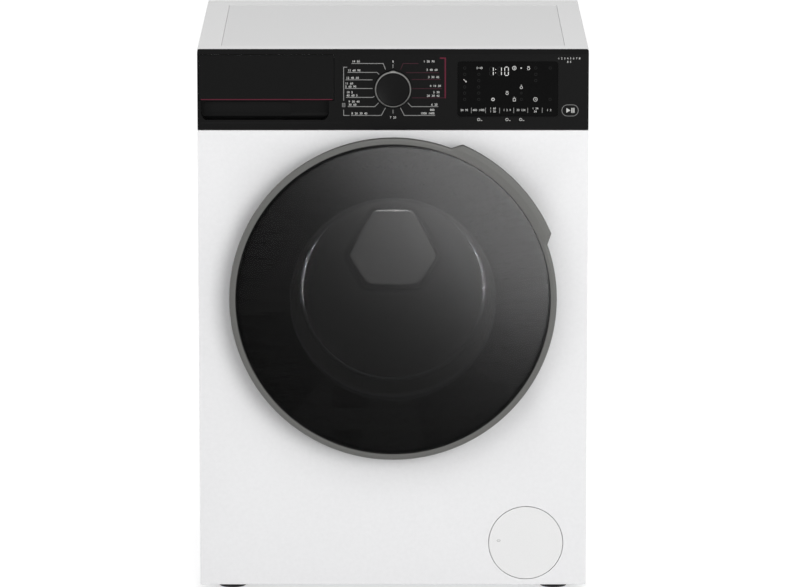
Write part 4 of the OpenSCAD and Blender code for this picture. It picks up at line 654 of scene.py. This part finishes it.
def hub_reach(angle):
    """Distance from the middle to the edge of the pressed hub's face at an angle: the soft least
    of its six sides, the short ones at the arms' ends and the flanks between them."""
    side = np.radians([90, 210, 330, 30, 150, 270])
    away = np.repeat([HUB_ARM, HUB_FLANK], 3)
    share = np.maximum(np.cos(angle[:, None] - side), 0) / away
    return (share ** CORNER_POWER).sum(-1) ** (-1 / CORNER_POWER)


def back_points(front, steps=288):
    """The drum's pressed back: a disc whose middle stands forward as the hub. Outside the hub's
    edge the depth falls by 0.14 of the way over a 3 mm facet, and then by the rest of the step
    times a smooth share of the next 9 mm. The rows follow the edge: some inside it, most on the
    slope, some outside."""
    angle = full_turn(steps)
    edge, facet, slope = hub_reach(angle), 0.003, 0.012
    inside, on, outside = (np.linspace(0, 1, n)[:, None] for n in (8, 25, 6))
    radius = np.concatenate([edge * inside[:-1], edge + slope * on,
                             edge + slope + (BACK_REACH - edge - slope) * outside[1:]])
    tilt = FACET_FALL * np.clip(radius - edge, 0, facet)
    share = np.clip((radius - edge - facet) / (slope - facet), 0, 1)
    depth = (front - BACK_STEP + tilt
             + (BACK_STEP - FACET_FALL * facet) * share * share * (3 - 2 * share))
    return round_axis(radius, depth, angle)


def refinished(piece, material, where):
    """Gives the faces where this holds a second finish."""
    piece.data.materials.append(material)
    piece.data.polygons.foreach_set("material_index", where.astype(np.int32))


near, far = back_points(drum_back - SHEET), back_points(drum_back)
back = formed("drum_pressed_back", np.concatenate([near, far[::-1]]), "drum_shell", stainless)
# The hub's face is polished, down to 0.3 mm below its level
depths = np.zeros(len(back.data.polygons) * 3)
back.data.polygons.foreach_get("center", depths)
refinished(back, polished_stainless, depths[1::3] < drum_back - BACK_STEP + 0.0003)

HOLE_R, HOLE_RISE = 0.0026, 0.0002
HOLE_SIDES = 8


def hole_rings(centres, across, along, lifted):
    """Punched holes as one mesh: round each centre a ring that rises to its rim and a dark bottom,
    on two directions in the sheet and the one that the rim is lifted in."""
    turn = full_turn(HOLE_SIDES)[:, None]
    share, lift = np.array([[1.0, 0.8, 0.66, 0.0], [0.0, 1.0, 0.3, 0.3]])[:, :, None, None]
    spoke = across[:, None, None] * np.cos(turn) + along[:, None, None] * np.sin(turn)
    return repeated(HOLE_R * share * spoke + HOLE_RISE * lift * lifted[:, None, None], centres)


def wall_holes(rows=19, around=105, start=0.052, pitch=0.0118, lifter_half=0.175):
    """Holes of the drum's wall: a staggered pattern round it, left out where the lifters stand."""
    row, place = np.meshgrid(np.arange(rows), np.arange(around), indexing="ij")
    angle = 2 * math.pi * (place + 0.5 * (row % 2)) / around
    third = 2 * math.pi / 3
    clear = np.abs((angle - math.pi / 2 + third / 2) % third - third / 2) > lifter_half
    angle, depth = angle[clear], (drum_front + start + row * pitch)[clear]
    outwards, across = (round_axis(1, 0, angle + turn, (0, 0)) for turn in (0, math.pi / 2))
    return hole_rings(round_axis(DRUM_R - SHEET, depth, angle), across,
                      np.array([[0.0, 1.0, 0.0]]), -outwards)


def back_holes(pitch=0.0155):
    """Holes of the drum's back: on two bands of staggered rings, as many on each as its length
    takes."""
    radius = np.array([0.165, 0.172, 0.179, 0.193, 0.2, 0.207])
    count = (2 * math.pi * radius / pitch).astype(int)
    row = np.repeat(np.arange(len(radius)), count)
    place = np.arange(count.sum()) - np.repeat(np.cumsum(count) - count, count)
    angle = 2 * math.pi * (place + 0.5 * (row % 2)) / count[row]
    return hole_rings(round_axis(radius[row], drum_back - SHEET, angle),
                      *np.array([[[1.0, 0, 0]], [[0, 0, 1.0]], [[0, -1.0, 0]]]))


for name, grid in {"drum_wall_holes": wall_holes(), "drum_back_holes": back_holes()}.items():
    holes = carry(make(name, *grid, stainless, 60), "drum_shell")
    # Of a hole's three rows of faces the last is its bottom
    row = np.arange(len(holes.data.polygons)) // HOLE_SIDES % 3
    refinished(holes, punched_dark, row == 2)

# ---- programme knob

knob_low, knob_high = corners("programme_knob")
KNOB = np.array([0.0, 0.7894])
KNOB_R = (knob_high[0] - knob_low[0]) / 2
face = knob_low[1]
knob_back = FRONT - 0.001
# The cap: a flat face 1.2 mm down inside a thin lip, a smooth side and a small foot
cap = softened([[0, face + 0.0012], [KNOB_R - 0.0032, face + 0.0012],
                [KNOB_R - 0.0029, face + 0.0002], [KNOB_R - 0.0023, face + 0.0002],
                [KNOB_R - 0.0023, knob_back - 0.001], [KNOB_R - 0.0002, knob_back - 0.001],
                [KNOB_R - 0.0002, knob_back], [0, knob_back]], 0.0003, closed=False, steps=3)
turned_piece("knob_cap", cap, "programme_knob", black_abs, True, closed=False, centre=KNOB,
             steps=160)


def knob_ring_points(rise=0.0012, half=0.17):
    """The bright ring on the knob: its section, with a broad bevel outside, carried round and
    widened at the top by a soft bump that points at the programme."""
    angle = full_turn(240)
    bump = rise * np.exp(-(((angle - math.pi / 2) / half) ** 2) ** 1.5)
    section = softened([[KNOB_R - 0.0022, face + 0.0005, 0], [KNOB_R - 0.0018, face, 0],
                        [KNOB_R - 0.0014, face, 1], [KNOB_R, face + 0.0014, 1],
                        [KNOB_R, knob_back - 0.002, 1], [KNOB_R - 0.0021, knob_back - 0.002, 0]],
                       0.0003, steps=3)
    return round_axis(section[:, :1] + section[:, 2:] * bump, section[:, 1:2], angle, KNOB)


formed("knob_bright_ring", knob_ring_points(), "programme_knob", bright_chrome)

# ---- print on the fascia

INK = 0.00006


def strokes(paths, width, closed=False):
    """Outlines of printed lines: each path in x and z widened to both sides along its mitred
    normal; a closed path gives an outer and an inner outline."""
    outlines = []
    for here in paths:
        step = np.roll(here, -1, 0) - here if closed else np.diff(here, axis=0)
        side = np.stack([-step[:, 1], step[:, 0]], -1) / np.linalg.norm(step, axis=1)[:, None]
        first = np.roll(side, 1, 0) if closed else np.concatenate([side[:1], side])
        last = side if closed else np.concatenate([side, side[-1:]])
        normal = width / 2 * (first + last) / (1 + (first * last).sum(1))[:, None]
        left, right = here + normal, here - normal
        outlines += [left, right] if closed else [np.concatenate([left, right[::-1]])]
    return outlines


def printed(name, outlines, material, node="control_fascia", depth=FRONT):
    """A print on a surface that faces the front: flat closed outlines, as thick as ink."""
    flat_piece(name, outlines, material, node, depth - INK, depth)


def mm(*values):
    """Millimetres as metres."""
    return np.array(values, float) / 1000


def lines(width, *paths, closed=False):
    """Printed lines along paths, all in millimetres."""
    return strokes([mm(*path) for path in paths], width / 1000, closed)


# Size of the letters over the height of their figures, and the share by which they are made bolder
LETTER_SIZE, BOLDER = 1.38, 0.02


def numbers(name, height, rows, node="control_fascia"):
    """Plain numbers in white ink, under the side that they are set to: each with its text and its
    place in millimetres."""
    meshes = []
    for side, (text, x, z) in [(side, row) for side in rows for row in rows[side]]:
        letters = bpy.data.curves.new(name, "FONT")
        letters.body, letters.size, letters.extrude = text, height * LETTER_SIZE, INK / 2
        letters.offset = height * BOLDER
        letters.align_x, letters.resolution_u = side, 2
        mesh = upright(letters, name, FRONT - INK / 2)
        mesh.transform(Matrix.Translation((x / 1000, 0, z / 1000)))
        meshes.append(mesh)
    carry(show(name, joined(name, meshes), white_ink, 60), node)


# Programme dial: a leader from each programme's place to the knob, crimson for the five at the
# upper right, which a bracket groups, and grey for the rest
printed("dial_lines", lines(
    1.0, ([-63.3, 828.8], [-15.0, 828.8], [-11.4, 819.5]),
    ([-69.3, 815.1], [-24.3, 815.1], [-21.4, 811.8]), ([-72.2, 803.6], [-31.3, 803.6]),
    ([-73.3, 790.2], [-31.3, 790.2]), ([-71.8, 776.5], [-31.3, 776.5], [-28.4, 778.2]),
    ([-68.8, 762.2], [-27.8, 762.2], [-22.0, 768.1]),
    ([-64.2, 748.6], [-17.9, 748.6], [-11.5, 760.4]),
    ([22.5, 768.1], [28.3, 762.2], [69.2, 762.2]), ([11.3, 760.4], [17.3, 748.6], [64.1, 748.6]),
    ([0, 827.7], [0, 821.8]), ([0, 757.4], [0, 751.6]),
    ([-69.9, 823.1], [-75.4, 823.1], [-75.4, 771.1]),
    ([-75.4, 757.4], [-75.4, 748.6], [-66.5, 748.6])), grey_ink)
printed("dial_red_lines", lines(
    1.0, ([11.6, 819.5], [15.4, 828.8], [38.8, 828.8]), ([19.8, 814.6], [70.2, 814.6]),
    ([28.3, 804.1], [72.7, 804.1]), ([29.0, 790.0], [74.8, 790.0]),
    ([29.0, 775.8], [78.4, 775.8])), dark_crimson_ink)
printed("dial_red_bracket", lines(2.1, ([71.5, 837.0], [79.8, 837.0], [79.8, 775.2])),
        crimson_ink)
numbers("dial_numbers", 0.0034, {
    "LEFT": [("14  60", -62.5, 830.4), ("13  60  90", -69.0, 816.5),
             ("12  40  60", -71.5, 805.0), ("11  60", -73.0, 796.4), ("5  60  90", -73.0, 791.6),
             ("10  5", -71.0, 782.7), ("40  60  5", -71.0, 777.9), ("9  30  40", -68.0, 768.4),
             ("30  60", -68.0, 763.6), ("8  20  30  40", -63.5, 750.1)],
    "CENTER": [("0", 0, 830.2), ("7  20", 0, 743.9)],
    "RIGHT": [("1  20  90", 63.5, 830.4), ("2  40  60", 68.0, 817.4), ("3  30  40", 70.5, 806.2),
              ("4  14  30", 73.2, 792.6), ("5  30", 71.0, 782.9), ("20  30  40", 71.0, 777.4),
              ("6  20", 68.0, 763.8), ("800", 63.5, 755.6), ("1000  1400", 63.5, 750.2)]})
printed("drying_mark", lines(
    0.7, ([-77.4, 762.0], [-73.4, 762.0], [-73.4, 767.2], [-77.4, 767.2]), closed=True)
        + lines(0.7, ([-76.6, 765.6], [-74.2, 765.6]), ([-76.6, 763.6], [-74.2, 763.6])),
        grey_ink)
printed("drawer_red_line", lines(1.3, ([-293.8, 773.2], [-92.6, 773.2])), crimson_ink,
        "drawer_front")

# Display: three seven-segment figures, the lit marks round them and the dim ones that are off
ONE, NOUGHT = "bc", "abcdef"
FIGURE_WIDE, FIGURE_LOW, FIGURE_HIGH = 5.6, 810.3, 823.3  # millimetres, as the places are
BAR_WIDE, BAR_GAP = 0.001, 0.0015  # metres


def figure(text, x):
    """Bars of a seven-segment figure: each bar's ends in shares of the width and height, drawn in
    from the corners so that the bars stay apart."""
    ends = {"a": (0, 1, 1, 1), "b": (1, 1, 1, 0.5), "c": (1, 0.5, 1, 0), "d": (0, 0, 1, 0),
            "e": (0, 0.5, 0, 0), "f": (0, 1, 0, 0.5), "g": (0, 0.5, 1, 0.5)}
    bars = np.array([ends[name] for name in text], float).reshape(-1, 2, 2)
    bars = mm(x, FIGURE_LOW) + bars * mm(FIGURE_WIDE, FIGURE_HIGH - FIGURE_LOW)
    middle = bars.mean(1, keepdims=True)
    size = np.linalg.norm(bars[:, 1] - bars[:, 0], axis=1)[:, None, None]
    return strokes(middle + (bars - middle) * (1 - BAR_GAP / size), BAR_WIDE)


def ring(x, z, radius, width):
    """A printed ring of millimetres."""
    return strokes([circle(radius / 1000, mm(x, z), 40)], width / 1000, True)


def dot(x, z, radius):
    """A printed disc of millimetres."""
    return [circle(radius / 1000, mm(x, z), 32)]


printed("display_figures", figure(ONE, 147.5) + figure(ONE, 160.0) + figure(NOUGHT, 170.6)
        + dot(156.6, 819.6, 0.6) + dot(156.6, 814.4, 0.6), lit_segment, "display_window")
printed("display_figures_off", figure("adefg", 147.5) + figure("adefg", 160.0)
        + figure("g", 170.6), dim_ink, "display_window")
printed("display_marks", ring(185.2, 821.7, 2.7, 1.1) + dot(185.2, 821.7, 1.0)
        + [round_box(mm(194.6, 196.8), mm(820.6, 822.8), 0.0004)]
        + ring(207.0, 821.0, 1.9, 0.8) + ring(135.0, 821.8, 1.3, 0.8)
        + lines(0.8, ([205.0, 824.2], [209.0, 824.2]), ([128.4, 823.6], [128.4, 820.0]),
                ([130.2, 821.8], [132.4, 821.8]), ([172.4, 785.8], [176.4, 785.8]),
                ([184.5, 776.6], [186.3, 776.6]))
        + lines(0.9, ([107.6, 804.6], [110.6, 801.6])) + dot(111.4, 800.8, 1.1)
        + ring(174.3, 782.6, 1.8, 0.8) + ring(152.8, 773.4, 2.0, 1.3)
        + ring(196.1, 791.6, 1.8, 0.8) + dot(196.1, 795.2, 0.7)
        + lines(0.8, ([183.6, 770.8], [187.2, 770.8], [187.2, 775.0], [183.6, 775.0]), closed=True)
        + ring(217.6, 773.4, 2.9, 0.8)
        + lines(0.6, ([217.6, 775.2], [217.6, 773.2], [219.0, 773.2])),
        white_ink, "display_window")
# Dim rings in four columns, each at the rows where no mark is lit
off = {109.5: (821.8, 812.0, 792.6, 783.1, 773.4), 131.0: (812.0, 802.4, 792.6, 783.1, 773.4),
       218.0: (821.8, 812.0, 802.4), 240.0: (821.8, 773.4)}
printed("display_marks_off", [part for x, heights in off.items() for z in heights
                              for part in ring(x, z, 1.9, 0.8)]
        + ring(196.1, 783.1, 1.6, 0.8) + ring(196.1, 773.4, 1.8, 0.8), dim_ink, "display_window")

# Touch keys under the display, the marks below them and the start key
numbers("key_numbers", 0.0032, {
    "CENTER": [("20  90", 109.0, 755.4), ("400  1400", 130.8, 755.4), ("1  60", 152.7, 758.0),
               ("1  30", 152.7, 753.2), ("1  2  3", 174.4, 755.4), ("30  120", 195.7, 755.4),
               ("1  24", 217.5, 758.0), ("24", 217.5, 753.2), ("1  2", 238.6, 755.4)]},
        "display_window")
printed("key_dividers", lines(0.8, *(([x, 752.2], [x, 760.5]) for x in
                                     (119.8, 141.4, 162.9, 184.5, 205.9, 228.1))),
        grey_ink, "display_window")
printed("key_marks", [part for x in (131.0, 174.2, 195.2) for part in ring(x, 742.3, 1.9, 0.7)
                      + lines(0.8, ([x + 3.0, 740.6], [x + 5.4, 740.6]))], white_ink)
numbers("capacity_numbers", 0.0031, {
    "CENTER": [("1  2  3  4  5  6  7  8", 268.9, 835.2), ("8  5", 268.9, 829.9)]})
printed("start_key_outline", strokes([round_box(mm(258.2, 283.2), mm(747.7, 765.0), 0.0086, 16)],
                                     0.0007, True), grey_ink)
printed("start_key_mark", [mm([265.0, 752.6], [265.0, 760.2], [271.2, 756.4]),
                           round_box(mm(272.6, 274.4), mm(752.6, 760.2), 0.0003),
                           round_box(mm(275.6, 277.4), mm(752.6, 760.2), 0.0003)], white_ink)

# Small mark at the place where the flap is pressed to open it
printed("flap_press_mark", strokes([round_box(mm(161.2, 166.2), mm(80.5, 82.9), 0.0011, 5)], 0.0005,
                                   True), grey_ink, "filter_flap", corners("filter_flap")[0][1])

# Finger grip under the drawer: a lining plate on the back wall and a raised lip below
GRIP_DEPTH = 0.0237
grip_back = FRONT + GRIP_DEPTH
flat_piece("grip_lining", [round_box(mm(-290.8, -157.0), mm(745.4, 766.0), 0.004)],
           grained_black, "control_fascia", grip_back - 0.0009, grip_back, 0.0003)
flat_piece("grip_lip", [round_box(mm(-294.0, -76.0), mm(736.2, 737.9), 0.0005)],
           grained_black, "control_fascia", FRONT - 0.0003, FRONT + 0.0003, 0.0002)

# ---- studio


def seen_rays(tree):
    """One for the rays that show the background: the camera's, and those off metal and through
    glass."""
    rays = add(tree, "LightPath").outputs
    shown = rays["Is Camera Ray"]
    for kind in ("Is Glossy Ray", "Is Transmission Ray"):
        shown = add(tree, "Math", links={0: shown, 1: rays[kind]},
                    operation="MAXIMUM").outputs[0]
    return shown


SKY = 0.64
FLOOR_GLOW = 0.54
FLOOR_HALF = 30.0


def floor_finish():
    """A pale floor that takes the object's shadow; for the rays that show the background it also
    glows by as much as its paint lacks to white where no shadow falls."""
    made = bpy.data.materials.new("pale_floor")
    made.use_nodes = True
    tree = made.node_tree
    tree.nodes.clear()
    paint = add(tree, "BsdfDiffuse", {"Color": linear("e6e6e6")})
    share = add(tree, "Math", {1: FLOOR_GLOW}, {0: seen_rays(tree)}, operation="MULTIPLY")
    glow = add(tree, "Emission", {"Color": linear("ffffff")}, {"Strength": share.outputs[0]})
    both = add(tree, "AddShader", links={0: paint.outputs[0], 1: glow.outputs[0]})
    add(tree, "OutputMaterial", links={"Surface": both.outputs[0]})
    return made


floor = bpy.data.meshes.new("floor")
floor.from_pydata([(x * FLOOR_HALF, y * FLOOR_HALF, 0)
                   for x, y in ((-1, -1), (1, -1), (1, 1), (-1, 1))], [], [(0, 1, 2, 3)])
show("floor", floor, floor_finish())

# The room: an even white for the rays that show the background, and a dimmer one for its light
world = bpy.data.worlds.new("studio")
scene.world = world
world.use_nodes = True
tree = world.node_tree
tree.nodes.clear()
strength = add(tree, "MapRange", {"To Min": SKY, "To Max": 1.0}, {"Value": seen_rays(tree)})
room = add(tree, "Background", {"Color": (1, 1, 1, 1)},
           {"Strength": strength.outputs["Result"]})
add(tree, "OutputWorld", links={"Surface": room.outputs[0]})


def soft_light(name, place, aim, size, watts, turn=0.0, tall=None, only=None):
    """A soft light at a place, facing its aim and turned about that line; square, or as tall as
    is given. Made for only one piece, it shows as a reflection in that piece and nowhere else."""
    lamp = bpy.data.lights.new(name, "AREA")
    lamp.shape, lamp.size, lamp.size_y, lamp.energy = "RECTANGLE", size, tall or size, watts
    light = placed(name, lamp)
    facing = Vector(np.array(aim, float) - np.array(place, float)).to_track_quat("-Z", "Y")
    light.matrix_world = (Matrix.Translation(place) @ facing.to_matrix().to_4x4()
                          @ Matrix.Rotation(turn, 4, "Z"))
    light.visible_camera = False
    if only:
        light.visible_diffuse = False
        takers = light.light_linking.receiver_collection = bpy.data.collections.new(name)
        takers.objects.link(bpy.data.objects[only])


soft_light("key", (1.7, -3.8, 1.4), (0, 0, 0.5), 2.0, 56)
soft_light("fill", (-2.4, -3.4, 1.6), (0, 0, 0.4), 1.8, 11)
soft_light("over_the_front", (0.2, -1.6, 1.9), (0, -0.1, 0.8), 1.0, 4)
# A card of light at the right, on its corner and 2.2 m in front of the door: the cover shows its
# soft edge as a slope from dark at the lower left to grey at the upper right
soft_light("door_card", (0.525, FRONT - 2.2, 0.525), (0.05, FRONT, 0.5), 1.05, 285,
           math.pi / 4, only="door_cover")
# Two low strips, one at each side, that draw the thin arcs on the bowl's bend; the left one draws
# the right arc, which has to show on the lighter side of the cover
for side, watts in ((-1, 270), (1, 130)):
    soft_light("bowl_strip", (side * 0.29, FRONT - 0.5, 0.24), (0, FRONT + 0.05, 0.47), 0.14,
               watts, tall=0.28, only="bowl_bend")
# Two above the door that edge the top of the drum's hub and the rims of the holes round it
for name, watts, piece in (("hub_strip", 4, "drum_pressed_back"),
                           ("holes_strip", 70, "drum_back_holes")):
    soft_light(name, (0, FRONT - 3.0, 0.87), (0, FRONT, 0.5), 0.6, watts, tall=0.12, only=piece)

camera = bpy.data.cameras.new("camera")
camera.sensor_width, camera.lens = SENSOR_MM, SENSOR_MM * FOCAL_PIXELS / PICTURE_PIXELS
camera.clip_end = 200
viewer = placed("camera", camera)
viewer.location = (0, FRONT - CAMERA_BACK, CAMERA_UP)
viewer.rotation_euler = (math.pi / 2 - CAMERA_PITCH, 0, 0)
scene.camera = viewer
scene.view_settings.view_transform = "Standard"
